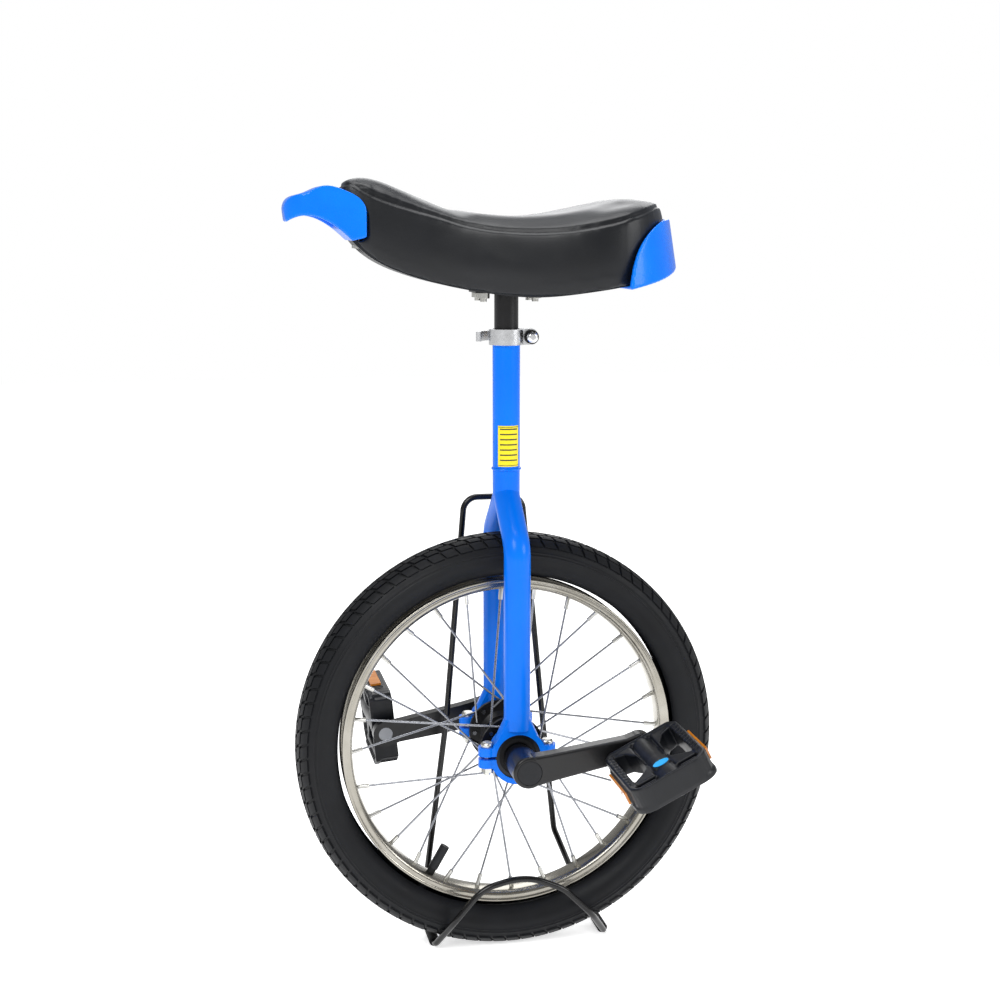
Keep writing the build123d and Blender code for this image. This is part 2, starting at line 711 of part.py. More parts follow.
def seat_collar():
    """Split clamp ring with two ears behind the tube."""
    bore = tube_d / 2 + collar_fit
    ring = rod((0, 0, collar_bottom_z), (0, 0, 1), ring_r, collar_h)
    outer_y, _ = ear_edges()
    back = skewer_x - 6.0
    ears = block(back, 0, -outer_y, outer_y, collar_bottom_z, collar_bottom_z + collar_h)
    ears = fillet(ears.edges().filter_by(Axis.Y).sort_by(Axis.X)[:2], 5.0)
    body = ring + ears
    body -= rod((0, 0, collar_bottom_z - 1), (0, 0, 1), bore, collar_h + 2)
    half = ear_slot / 2
    body -= block(back - 1, 0, -half, half, collar_bottom_z - 1, collar_bottom_z + collar_h + 1)
    return body - rod((skewer_x, -20, skewer_z), (0, 1, 0), skewer_d / 2 + 0.1, 40)


def lever_pivot_y():
    return ear_edges()[1] - 6.5


def qr_skewer():
    """Skewer through both ears: nut end on the left, a forked eye for the cam on the right."""
    start_y = lever_pivot_y() + 4.6
    end_y = ear_edges()[0] + 7.0
    return rod((skewer_x, start_y, skewer_z), (0, 1, 0), skewer_d / 2, end_y - start_y)


def qr_nut():
    """Round adjusting nut with a black grip ring, and the rubber ring itself."""
    y0 = ear_edges()[0]
    nut = rod((skewer_x, y0 + 0.3, skewer_z), (0, 1, 0), 5.2, 9.0)
    nut = fillet(nut.faces().sort_by(Axis.Y)[-1].edges(), 3.0)
    nut -= rod((skewer_x, y0 - 1, skewer_z), (0, 1, 0), skewer_d / 2 + 0.05, 8.4)
    ring = tube((skewer_x, y0 + 1.3, skewer_z), (0, 1, 0), 6.4, 5.2, 3.2)
    return nut, ring


def qr_cam_washer():
    """Curved brass washer that the cam turns against."""
    y1 = ear_edges()[1]
    washer = rod((skewer_x, y1 - 1.6, skewer_z), (0, 1, 0), 6.0, 1.6)
    return washer - rod((skewer_x, y1 - 5, skewer_z), (0, 1, 0), skewer_d / 2 + 0.1, 10)


def qr_lever():
    """Cam and curved blade that wraps round the right of the tube to the front."""
    pivot_y = lever_pivot_y()
    low = skewer_z - lever_t / 2
    cam = rod((skewer_x, pivot_y, low), (0, 0, 1), lever_cam_r, lever_t)
    blade_r = math.hypot(skewer_x, pivot_y)
    outline = tube((0, 0, low), (0, 0, 1), blade_r + lever_thick / 2, blade_r - lever_thick / 2, lever_t)
    tip_y = -blade_r * lever_tip_share
    front_x = blade_r * 0.94
    outline -= block(-60, skewer_x, -60, 60, low - 1, low + lever_t + 1)
    outline -= block(-60, 60, tip_y, 60, low - 1, low + lever_t + 1)
    blade = outline & block(skewer_x, front_x, -60, 0, low, low + lever_t)
    tip_x = math.sqrt(blade_r ** 2 - tip_y ** 2)
    tip = rod((tip_x, tip_y, low), (0, 0, 1), lever_thick / 2 + 0.7, lever_t)
    lever = cam + blade + tip
    return lever - rod((skewer_x, pivot_y, low - 1), (0, 0, 1), cam_pin_r + 0.05, lever_t + 2)


def qr_cam_pin():
    low = skewer_z - lever_t / 2 - 1.0
    return rod((skewer_x, lever_pivot_y(), low), (0, 0, 1), cam_pin_r, lever_t + 2.0)


qr_nut_body, qr_nut_grip = qr_nut()
save("seat_post", seat_post())
save("seat_plate", seat_plate())
save("seat_collar", seat_collar())
save("qr_skewer", qr_skewer())
save("qr_nut", qr_nut_body)
save("qr_nut_ring", qr_nut_grip)
save("qr_cam_washer", qr_cam_washer())
save("qr_lever", qr_lever())
save("qr_cam_pin", qr_cam_pin())


# ---------------------------------------------------------------- saddle
def saddle_top_line():
    return Spline(
        (154, 0, 727), (140, 0, 730), (94, 0, 716), (45, 0, 696), (0, 0, 690),
        (-44, 0, 693), (-94, 0, 704), (-124, 0, 708), (-138, 0, 706),
    )


def saddle_bottom_line(lift=0.0):
    """Underside of the saddle, or the same line higher up inside it."""
    return Spline(
        (152 - lift, 0, 686 + lift), (128, 0, 658 + lift), (89, 0, 640 + lift), (33, 0, 627 + lift),
        (-12, 0, 623 + lift), (-60, 0, 628 + lift), (-110, 0, 638 + lift), (-152 + lift, 0, 663 + lift),
    )


def saddle_plan(extra=0.0, rear=0.0):
    """Plan outline, narrow nose and wide back, grown outwards by extra and at the rear."""
    half = [
        (157 + extra, 0), (152 + extra * 0.7, 20 + extra * 0.7), (128, 31 + extra), (90, 37 + extra),
        (50, 48 + extra), (10, 69 + extra), (-40, 93 + extra), (-84, 98 + extra),
        (-117 - extra * 0.5 - rear * 0.5, 80 + extra * 0.8), (-137 - extra - rear * 0.9, 42 + extra * 0.4),
        (-145 - extra - rear, 0),
    ]
    far = [(x, -y) for x, y in reversed(half[1:-1])]
    return make_face(Spline(*[(x, y, 0) for x, y in half + far], periodic=True))


def saddle_prism(extra=0.0):
    return extrude(saddle_plan(extra).moved(Location((0, 0, 560))), amount=240, dir=(0, 0, 1))


def saddle_body():
    top = saddle_top_line()
    bottom = saddle_bottom_line()
    profile = [top, bottom, Line(top @ 0, bottom @ 0), Line(top @ 1, bottom @ 1)]
    return side_shape(profile, -120, 120) & saddle_prism()


def saddle_base():
    """Moulded base shell under the foam, thickened over the steel plate."""
    low = saddle_bottom_line()
    high = saddle_bottom_line(base_t)
    profile = [low, high, Line(low @ 0, high @ 0), Line(low @ 1, high @ 1)]
    shell = side_shape(profile, -120, 120) & saddle_prism(-base_inset)
    pad_x, pad_y = plate_l / 2 + pocket_margin, plate_w / 2 + pocket_margin
    pad = block(-pad_x - 3, pad_x + 3, -pad_y - 3, pad_y + 3, plate_top_z - 4, plate_top_z + base_t)
    base = shell + pad
    base -= block(-pad_x, pad_x, -pad_y, pad_y, 600, plate_top_z)
    for x, y in saddle_bolt_places():
        base -= rod((x, y, plate_top_z - 1), (0, 0, 1), saddle_bolt_d / 2 + 0.2, base_t + 5)
    return base


def saddle_bolt(x, y):
    """Carriage bolt from inside the base down through the plate."""
    head_z = plate_top_z + base_t
    shank_z = plate_top_z - plate_t - 8
    head = rod((x, y, head_z), (0, 0, 1), saddle_head_r, saddle_head_h)
    return head + rod((x, y, shank_z), (0, 0, 1), saddle_bolt_d / 2, head_z - shank_z)


def saddle_nut(x, y):
    top_z = plate_top_z - plate_t
    nut = hexagon((x, y, top_z - 5), (0, 0, 1), 10.0, 5.0)
    return nut - rod((x, y, top_z - 10), (0, 0, 1), saddle_bolt_d / 2, 20)


def handle_profile():
    """Side view of the front grip: an arched top that drops to a rounded nose."""
    top = Spline(
        (131, 0, 699), (136, 0, 708), (150, 0, 716), (168, 0, 720),
        (184, 0, 714), (197, 0, 710), (203, 0, 700),
    )
    under = Spline((201, 0, 688), (176, 0, 693), (158, 0, 684), (144, 0, 672))
    return [
        top, Line(top @ 1, under @ 0), under,
        Line(under @ 1, (131, 0, 675)), Line((131, 0, 675), top @ 0),
    ]


def handle_plan(half_w, tip_x):
    """Plan of the grip, with well rounded front corners."""
    nose_r = half_w * 0.82
    plan = block(120, tip_x - nose_r, -half_w, half_w, 640, 760)
    plan += block(120, tip_x, -half_w + nose_r, half_w - nose_r, 640, 760)
    for sign in (-1, 1):
        plan += rod((tip_x - nose_r, sign * (half_w - nose_r), 640), (0, 0, 1), nose_r, 120)
    return plan


def handle_envelope():
    return side_shape(handle_profile(), -handle_half_w, handle_half_w) & handle_plan(handle_half_w, handle_tip_x)


def saddle_handle():
    """Hollow moulded grip screwed to the nose, open underneath for the fingers."""
    grip = handle_envelope()
    inner_half_w = handle_half_w - handle_wall
    top = Spline((156, 0, 711), (168, 0, 715.5), (183, 0, 710), (199.5, 0, 703))
    front, back = (199.5, 0, 660), (156, 0, 660)
    line = [top, Line(top @ 1, front), Line(front, back), Line(back, top @ 0)]
    hollow = side_shape(line, -inner_half_w, inner_half_w) & handle_plan(inner_half_w, handle_tip_x - handle_wall)
    return grip - hollow - screw_holes()


def bumper_profile():
    side = Spline((-90, 0, 633), (-93, 0, 650), (-101, 0, 669), (-113, 0, 682), (-128, 0, 690))
    under = Spline((-157, 0, 651), (-134, 0, 641), (-106, 0, 633.5), (-90, 0, 630))
    return [
        side, Line(side @ 1, (-146, 0, 691)), Line((-146, 0, 691), (-160, 0, 656)),
        Line((-160, 0, 656), under @ 0), under, Line(under @ 1, side @ 0),
    ]


def saddle_bumper(body):
    """Moulded rear bumper that wraps the back of the saddle."""
    low = saddle_plan(bumper_low_t, bumper_low_t).moved(Location((0, 0, bumper_low_z)))
    high = saddle_plan(bumper_high_t, bumper_high_t).moved(Location((0, 0, bumper_high_z)))
    shell = side_shape(bumper_profile(), -130, 130) & loft([low, high], ruled=True)
    return shell - body - screw_holes()


def trim_screw_places():
    """Start point and direction of each screw, from below into the base."""
    return [(136, 9, 668), (136, -9, 668), (-126, 28, 640), (-126, -28, 640)]


def screw_holes():
    holes = None
    for x, y, z in trim_screw_places():
        hole = rod((x, y, z - 12), (0, 0, 1), 4.6, 12) + rod((x, y, z), (0, 0, 1), 2.0, 16)
        holes = hole if holes is None else holes + hole
    return holes


def trim_screw(x, y, z):
    head = rod((x, y, z - 3), (0, 0, 1), 4.4, 3)
    return head + rod((x, y, z), (0, 0, 1), 2.0, 15)


def saddle_cushion(body, base, handle_space):
    """Foam under a sewn vinyl cover; the cover wraps the base's edge."""
    cushion = body - base - handle_space
    pad_x, pad_y = plate_l / 2 + pocket_margin, plate_w / 2 + pocket_margin
    cushion -= block(-pad_x - 3, pad_x + 3, -pad_y - 3, pad_y + 3, 600, plate_top_z + base_t)
    for x, y in saddle_bolt_places():
        cushion -= rod((x, y, plate_top_z), (0, 0, 1), saddle_head_r, base_t + saddle_head_h)
    return cushion - screw_holes()


body = saddle_body()
base = saddle_base() & body
handle_space = handle_envelope()
save("saddle_base", base - handle_space - screw_holes())
save("saddle_cushion", saddle_cushion(body, base, handle_space))
save("saddle_handle", saddle_handle())
save("saddle_bumper", saddle_bumper(body))
save("saddle_bolts", *[saddle_bolt(x, y) for x, y in saddle_bolt_places()])
save("saddle_nuts", *[saddle_nut(x, y) for x, y in saddle_bolt_places()])
save("trim_screws", *[trim_screw(x, y, z) for x, y, z in trim_screw_places()])


# ---------------------------------------------------------------- stand
def stand_loop():
    """Tall loop beside the right fork leg, with a floor rod under the tyre from each leg."""
    rest = foot_d / 2
    y = stand_loop_y
    points = [
        (toe_rear_x, stand_toe_y, rest), (toe_rear_x, y, rest), (-64, y, 81), (-52, y, 195),
        (-30, y, stand_top_z), (27, y, stand_top_z), (46, y, 200), (toe_front_x, y, rest),
        (toe_front_x, stand_toe_y, rest),
    ]
    return bent_wire(points, [10, 30, 60, 14, 14, 60, 10], wire_d / 2)


def stand_arch():
    """Low arch that keeps the wheel from falling to the left."""
    rest = foot_d / 2
    y = stand_arch_y
    turn_y = stand_toe_y + 9
    middle = (toe_front_x + toe_rear_x) / 2
    points = [
        (toe_rear_x, stand_toe_y, rest), (toe_rear_x, turn_y, rest), (-76, y - 2, 34), (-48, y, 62),
        (middle, y, stand_arch_z + 3), (30, y, 68), (57, y - 2, 36), (toe_front_x, turn_y, rest),
        (toe_front_x, stand_toe_y, rest),
    ]
    return bent_wire(points, [8, 30, 40, 60, 40, 25, 8], wire_d / 2)


def stand_feet():
    """Rubber sleeves on the floor rods, beside the toes and under the tall loop."""
    feet = []
    for x in (toe_front_x, toe_rear_x):
        for y in (stand_toe_y + 2 - foot_len, stand_loop_y + 12):
            feet.append(tube((x, y, foot_d / 2), (0, 1, 0), foot_d / 2, wire_d / 2, foot_len))
    return feet


save("stand_loop", stand_loop())
save("stand_arch", stand_arch())
save("stand_feet", *stand_feet())
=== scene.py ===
import math

import bmesh
import bpy
from mathutils import Matrix, Vector
from mathutils.kdtree import KDTree


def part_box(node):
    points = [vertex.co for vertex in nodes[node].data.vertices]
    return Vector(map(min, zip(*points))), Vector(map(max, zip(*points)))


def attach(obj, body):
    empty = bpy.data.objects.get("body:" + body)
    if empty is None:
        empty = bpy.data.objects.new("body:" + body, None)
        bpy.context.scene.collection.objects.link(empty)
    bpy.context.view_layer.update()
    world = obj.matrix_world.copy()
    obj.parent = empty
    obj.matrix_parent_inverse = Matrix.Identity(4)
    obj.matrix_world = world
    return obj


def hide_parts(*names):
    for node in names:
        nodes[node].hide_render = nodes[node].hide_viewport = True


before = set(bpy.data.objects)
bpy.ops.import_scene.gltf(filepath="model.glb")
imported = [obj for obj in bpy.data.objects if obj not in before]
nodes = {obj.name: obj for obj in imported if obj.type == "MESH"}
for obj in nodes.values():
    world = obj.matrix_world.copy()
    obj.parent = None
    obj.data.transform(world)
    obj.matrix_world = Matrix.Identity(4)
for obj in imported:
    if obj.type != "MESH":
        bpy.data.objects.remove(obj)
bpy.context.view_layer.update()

# ------------------------------------------------------------------ studio
# A product studio: the eye at a small child's height, twelve metres of pale
# sweep, big soft boxes left, right, overhead and behind, and a white room.
eye = Vector((0.3143, 1.5518, 0.6899))
gaze = Vector((-0.1924, -0.9681, -0.1608))
lens = bpy.data.cameras.new("studio_camera")
lens.sensor_width = 36.0
lens.lens = 61.82
camera = bpy.data.objects.new("studio_camera", lens)
bpy.context.scene.collection.objects.link(camera)
camera.location = eye
camera.rotation_euler = gaze.to_track_quat("-Z", "Y").to_euler()
bpy.context.scene.camera = camera
bpy.context.scene.view_settings.view_transform = "Standard"


def linear(code):
    """An sRGB hex colour as the linear RGBA that the shaders take."""
    tones = [int(code[i:i + 2], 16) / 255 for i in (1, 3, 5)]
    return [t / 12.92 if t <= 0.04045 else ((t + 0.055) / 1.055) ** 2.4 for t in tones] + [1.0]


def add(tree, kind, settings=None, links=None):
    """Adds one node. Settings are attributes or input values, links are inputs fed by sockets."""
    node = tree.nodes.new(kind)
    for key, value in (settings or {}).items():
        if isinstance(key, str) and hasattr(node, key):
            setattr(node, key, value)
        else:
            node.inputs[key].default_value = value
    for key, source in (links or {}).items():
        tree.links.new(source, node.inputs[key])
    return node


def finish(name, surface):
    """A new material whose Principled shader is set up by surface(tree, shader)."""
    made = bpy.data.materials.new(name)
    made.use_nodes = True
    shader = made.node_tree.nodes["Principled BSDF"]
    surface(made.node_tree, shader)
    return made


def sweep_surface(tree, shader):
    # Painted paper: flat white, lit a little from behind so that it stays even to the far edge.
    shader.inputs["Base Color"].default_value = linear("#FBFBFB")
    shader.inputs["Roughness"].default_value = 0.9
    shader.inputs["Specular IOR Level"].default_value = 0.1
    shader.inputs["Emission Color"].default_value = linear("#FFFFFF")
    shader.inputs["Emission Strength"].default_value = 0.62


floor_mesh = bpy.data.meshes.new("studio_floor")
shape = bmesh.new()
bmesh.ops.create_grid(shape, x_segments=2, y_segments=2, size=6.0)
shape.to_mesh(floor_mesh)
shape.free()
studio_floor = bpy.data.objects.new("studio_floor", floor_mesh)
studio_floor.data.materials.append(finish("painted paper sweep", sweep_surface))
bpy.context.scene.collection.objects.link(studio_floor)

world = bpy.data.worlds.new("white room")
world.use_nodes = True
world.node_tree.nodes["Background"].inputs["Color"].default_value = linear("#FFFFFF")
seen = add(world.node_tree, "ShaderNodeLightPath")
room = add(world.node_tree, "ShaderNodeMapRange", {3: 0.42, 4: 1.0}, {0: seen.outputs["Is Camera Ray"]})
world.node_tree.links.new(room.outputs["Result"], world.node_tree.nodes["Background"].inputs["Strength"])
bpy.context.scene.world = world

for name, place, size, power in (
        ("key_box", (1.5, 1.8, 2.2), 1.4, 44),
        ("side_box", (-1.9, 1.4, 1.2), 1.1, 20),
        ("top_box", (0.0, -0.2, 2.6), 1.6, 34),
        ("back_box", (-0.6, -2.2, 1.6), 1.4, 14)):
    lamp = bpy.data.lights.new(name, "AREA")
    lamp.shape = "DISK"
    lamp.size = size
    lamp.energy = power
    box = bpy.data.objects.new(name, lamp)
    box.location = place
    aim = Vector((0, 0, 0.35)) - Vector(place)
    box.rotation_euler = aim.to_track_quat("-Z", "Y").to_euler()
    bpy.context.scene.collection.objects.link(box)


# ------------------------------------------------------------------ frame
# Welded steel: a seat tube on a crown of two bent arms, straight legs, and a
# split bearing holder at each foot, all stoved in one coat of gloss blue.
def wear(tree, amount, size_mm, detail=3.0):
    """A soft noise from 0 to 1 on object coordinates, at a real size."""
    place = add(tree, "ShaderNodeTexCoord")
    noise = add(tree, "ShaderNodeTexNoise", {"Scale": 1000 / size_mm, "Detail": detail},
                {"Vector": place.outputs["Object"]})
    span = add(tree, "ShaderNodeMapRange", {1: 0.5 - amount, 2: 0.5 + amount},
               {0: noise.outputs["Fac"]})
    return span.outputs["Result"]


def blue_enamel_surface(tree, shader):
    # Stoved enamel: glossy, with a faint orange peel and a slightly deeper tone in patches.
    tone = add(tree, "ShaderNodeMix", {"data_type": "RGBA", 6: linear("#0068DC"), 7: linear("#0270E6")},
               {0: wear(tree, 0.25, 60)})
    tree.links.new(tone.outputs[2], shader.inputs["Base Color"])
    shader.inputs["Roughness"].default_value = 0.3
    shader.inputs["Specular IOR Level"].default_value = 0.12
    shader.inputs["Coat Weight"].default_value = 0.1
    shader.inputs["Coat Roughness"].default_value = 0.08
    peel = add(tree, "ShaderNodeBump", {"Strength": 0.08, "Distance": 0.0004},
               {"Height": wear(tree, 0.3, 2.5, 1.0)})
    tree.links.new(peel.outputs["Normal"], shader.inputs["Normal"])


def repaint(material, *names):
    """Gives CAD nodes a finished material in place of their plain one."""
    for name in names:
        slots = nodes[name].data.materials
        if len(slots) == 0:
            slots.append(material)
        for i in range(len(slots)):
            slots[i] = material


blue_enamel = finish("stoved gloss enamel, blue", blue_enamel_surface)
repaint(blue_enamel, "fork_crown", "seat_tube", "fork_leg_left", "fork_leg_right", "bearing_holder_left",
        "bearing_holder_right", "bearing_cap_left", "bearing_cap_right")


# A weld bead runs round the tube where it meets the crown. It is steel like the
# tubes and lies under the same enamel.
def piece(name, shape, body, material, smooth=40):
    """Makes a finished object from a bmesh: normals outwards, soft shading, its material and its ride."""
    bmesh.ops.recalc_face_normals(shape, faces=shape.faces)
    mesh = bpy.data.meshes.new(name)
    shape.to_mesh(mesh)
    shape.free()
    made = bpy.data.objects.new(name, mesh)
    bpy.context.scene.collection.objects.link(made)
    mesh.materials.append(material)
    mesh.shade_smooth()
    mesh.set_sharp_from_angle(angle=math.radians(smooth))
    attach(made, body)
    return made


def weld(shape, middle, ring_r, bead_r):
    """A round bead of weld about a vertical tube, in three steps to each puddle."""
    found = bmesh.ops.create_circle(shape, segments=8, radius=bead_r)["verts"]
    rim = list({edge for vert in found for edge in vert.link_edges})
    for vert in found:
        vert.co = Vector((ring_r + vert.co.x, 0, vert.co.y)) + middle
    steps = 3 * round(2 * math.pi * ring_r / weld_puddle)
    bmesh.ops.spin(shape, geom=found + rim, cent=middle, axis=(0, 0, 1), angle=2 * math.pi,
                   steps=steps, use_merge=True)


crown_top_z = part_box("fork_crown")[1].z
tube_low, tube_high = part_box("seat_tube")
tube_r = (tube_high.x - tube_low.x) / 2
weld_bead_r = 0.0013
weld_puddle = 0.0018
shape = bmesh.new()
weld(shape, Vector((0, 0, crown_top_z)), tube_r, weld_bead_r)
piece("crown_weld", shape, "frame", blue_enamel)


# ------------------------------------------------------------------ clamp bolts
# Domed zinc-plated bolts pull each bearing cap up to its holder, with plain
# hexagon nuts below.
def mottled(name, tones, rough, metal=0.0, coat=0.0, gloss=0.5, grain_mm=3.0):
    """A finish whose tone drifts slowly and whose gloss varies finely, at real sizes."""
    def surface(tree, shader):
        tone = add(tree, "ShaderNodeMix", {"data_type": "RGBA", 6: linear(tones[0]), 7: linear(tones[1])},
                   {0: wear(tree, 0.3, grain_mm * 8)})
        tree.links.new(tone.outputs[2], shader.inputs["Base Color"])
        span = add(tree, "ShaderNodeMapRange", {3: rough[0], 4: rough[1]}, {0: wear(tree, 0.4, grain_mm)})
        tree.links.new(span.outputs["Result"], shader.inputs["Roughness"])
        shader.inputs["Metallic"].default_value = metal
        shader.inputs["Coat Weight"].default_value = coat
        shader.inputs["Specular IOR Level"].default_value = gloss
    return finish(name, surface)


# Bright zinc is a pale, slightly uneven grey that glints on the domed heads.
zinc_plate = mottled("bright zinc plate", ("#BDBDB8", "#D4D3CE"), (0.25, 0.4), metal=1.0)
repaint(zinc_plate, "clamp_bolts", "clamp_nuts")


# ------------------------------------------------------------------ bearings
# Sealed ball bearings pressed into the holders: hardened rings and balls between
# two moulded rubber seals.
# Ground steel painted a deep grey: painted shade for the dark recessed gap round the axle, and a stand-in
# for the black seals there, with a soft glint.
recess_shade_steel = mottled("bearing steel painted with recess shade", ("#2A2B2E", "#38393D"), (0.3, 0.45), metal=1.0)
repaint(recess_shade_steel, "bearing_outer_rings", "bearing_balls", "bearing_inner_rings")
# Seal rubber is a dead, dusty black.
seal_rubber = mottled("moulded seal rubber", ("#0A0A0C", "#101012"), (0.6, 0.8), gloss=0.25)
repaint(seal_rubber, "bearing_seals")


# ------------------------------------------------------------------ label
# A printed vinyl label, stuck on the seat tube just above its weld.
label_low, label_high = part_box("info_sticker")
label_middle = (label_low.z + label_high.z) / 2
label_half_h = (label_high.z - label_low.z) / 2
bar_pitch = 0.0048
bar_h = 0.0013
bar_half_w = 0.0080
border_w = 0.0006


def label_surface(tree, shader):
    # Printed vinyl label: flat yellow with plain dark bars and a thin dark border, lightly glossed.
    place = add(tree, "ShaderNodeTexCoord")
    split = add(tree, "ShaderNodeSeparateXYZ", None, {0: place.outputs["Object"]})
    row = add(tree, "ShaderNodeMath", {"operation": "MODULO", 1: bar_pitch}, {0: split.outputs["Z"]})
    bar = add(tree, "ShaderNodeMath", {"operation": "LESS_THAN", 1: bar_h}, {0: row.outputs[0]})
    off = add(tree, "ShaderNodeMath", {"operation": "ABSOLUTE"}, {0: split.outputs["X"]})
    within = add(tree, "ShaderNodeMath", {"operation": "LESS_THAN", 1: bar_half_w}, {0: off.outputs[0]})
    text = add(tree, "ShaderNodeMath", {"operation": "MULTIPLY"},
               {0: bar.outputs[0], 1: within.outputs[0]})
    high = add(tree, "ShaderNodeMath", {"operation": "SUBTRACT", 1: label_middle}, {0: split.outputs["Z"]})
    rise = add(tree, "ShaderNodeMath", {"operation": "ABSOLUTE"}, {0: high.outputs[0]})
    edge = add(tree, "ShaderNodeMath",
               {"operation": "COMPARE", 1: label_half_h - 2 * border_w, 2: border_w / 2},
               {0: rise.outputs[0]})
    inner = add(tree, "ShaderNodeMath", {"operation": "LESS_THAN", 1: label_half_h - 4 * border_w},
                {0: rise.outputs[0]})
    lines = add(tree, "ShaderNodeMath", {"operation": "MULTIPLY"},
                {0: text.outputs[0], 1: inner.outputs[0]})
    ink = add(tree, "ShaderNodeMath", {"operation": "MAXIMUM"},
              {0: lines.outputs[0], 1: edge.outputs[0]})
    tone = add(tree, "ShaderNodeMix", {"data_type": "RGBA", 6: linear("#E6D40A"), 7: linear("#3A3A20")},
               {0: ink.outputs[0]})
    tree.links.new(tone.outputs[2], shader.inputs["Base Color"])
    shader.inputs["Roughness"].default_value = 0.35


label_vinyl = finish("printed vinyl label, yellow", label_surface)
repaint(label_vinyl, "info_sticker")


# ------------------------------------------------------------------ hub, axle and spokes
# A welded steel hub shell and a turned axle, both enamelled black, laced to the
# rim with drawn steel spokes that screw into plated brass nipples.
# Thin black enamel over steel: satin, with a soft highlight along the edges.
black_enamel = mottled("stoved satin enamel, black", ("#08080A", "#0E0E10"), (0.3, 0.42),
                       coat=0.08, gloss=0.35)
repaint(black_enamel, "hub_shell", "axle")
# Drawn wire is bright along its length, and so thin that it reads as a fine grey line.
drawn_wire = mottled("drawn bright spoke wire", ("#85878C", "#9A9CA2"), (0.22, 0.34), metal=1.0)
repaint(drawn_wire, "spokes")
# Plated brass nipples are a touch whiter than the spokes.
nipple_plate = mottled("nickel plated brass", ("#B9B9B6", "#D0CFCA"), (0.25, 0.38), metal=1.0, grain_mm=2.0)
repaint(nipple_plate, "spoke_nipples")


# ------------------------------------------------------------------ tyre
# A 16 x 2 inch street tyre of moulded rubber. Its carcass is smooth, with two
# fine ribs on each sidewall, and small tread blocks stand on it in slanted rows.
tyre_low, tyre_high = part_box("tyre")
axle = Vector((0, 0, (tyre_low.z + tyre_high.z) / 2))
wheel_r = tyre_high.z - axle.z
tyre_half_w = tyre_high.y
rim_low, rim_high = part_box("rim")
rim_r = rim_high.z - axle.z
tread_h = 0.0016
tread_half_w = 0.0235
tread_pitches = 90
tread_slant = 0.5
tyre_belly_r = rim_r + 0.5 * (wheel_r - rim_r)
tyre_bead_turn = 151.0


def tyre_point(degrees, inset=0.0):
    """(y, radius) on the tyre's section, degrees from 0 at the crown to the bead."""
    turn = math.radians(degrees)
    across = tyre_half_w - inset
    up = wheel_r - inset - tyre_belly_r
    if degrees <= 90:
        return across * math.sin(turn) ** 0.9, tyre_belly_r + up * math.cos(turn) ** 0.9
    return across * math.sin(turn), tyre_belly_r + (up + 0.001) * math.cos(turn)


def tyre_wrap(along, across, height):
    """Lays a point of the flat tread on the carcass: along the tread, across it, and out from it."""
    gone = 0.0
    degrees = 0.0
    here = tyre_point(0, tread_h)
    while gone < abs(across):
        degrees += 0.5
        there = tyre_point(degrees, tread_h)
        gone += math.dist(here, there)
        here = there
    ahead = tyre_point(degrees + 1, tread_h)
    behind = tyre_point(max(degrees - 1, 0), tread_h)
    slope = Vector((ahead[0] - behind[0], ahead[1] - behind[1])).normalized() if degrees else Vector((1, 0))
    y = (here[0] - slope.y * height) * (1 if across >= 0 else -1)
    r = here[1] + slope.x * height
    turn = along / wheel_r
    return Vector((r * math.cos(turn), y, axle.z + r * math.sin(turn)))


def spun(shape, outline, steps):
    """Turns a closed (y, radius) outline about the axle."""
    ring = [shape.verts.new((0, y, axle.z + r)) for y, r in outline]
    edges = [shape.edges.new(pair) for pair in zip(ring, ring[1:] + ring[:1])]
    bmesh.ops.spin(shape, geom=ring + edges, cent=axle, axis=(0, 1, 0), angle=2 * math.pi,
                   steps=steps, use_merge=True)


def rubber_surface(tree, shader):
    # Moulded tyre rubber: nearly black with a blue cast, a satin skin and fine mould grain.
    tone = add(tree, "ShaderNodeMix", {"data_type": "RGBA", 6: linear("#08090C"), 7: linear("#0E1014")},
               {0: wear(tree, 0.3, 18)})
    tree.links.new(tone.outputs[2], shader.inputs["Base Color"])
    rough = add(tree, "ShaderNodeMapRange", {3: 0.42, 4: 0.6}, {0: wear(tree, 0.4, 9)})
    tree.links.new(rough.outputs["Result"], shader.inputs["Roughness"])
    shader.inputs["Specular IOR Level"].default_value = 0.22
    grain = add(tree, "ShaderNodeBump", {"Strength": 0.25, "Distance": 0.0003},
                {"Height": wear(tree, 0.4, 1.4)})
    tree.links.new(grain.outputs["Normal"], shader.inputs["Normal"])


tyre_rubber = finish("moulded tyre rubber, black", rubber_surface)

shape = bmesh.new()
outside = []
for degrees in [tyre_bead_turn * k / 40 for k in range(41)]:
    y, r = tyre_point(degrees, tread_h)
    rib = any(abs(degrees - at) < 2.0 for at in (76, 84))
    grow = 0.0007 if rib else 0.0
    outside.append((y + grow * math.sin(math.radians(degrees)), r + grow * math.cos(math.radians(degrees))))
inside = [tyre_point(tyre_bead_turn * k / 12, 0.0045) for k in range(13)]
section = [(-y, r) for y, r in reversed(outside)] + outside[1:]
hollow = [(y, r) for y, r in reversed(inside)] + [(-y, r) for y, r in inside[1:]]
spun(shape, section + hollow, 180)

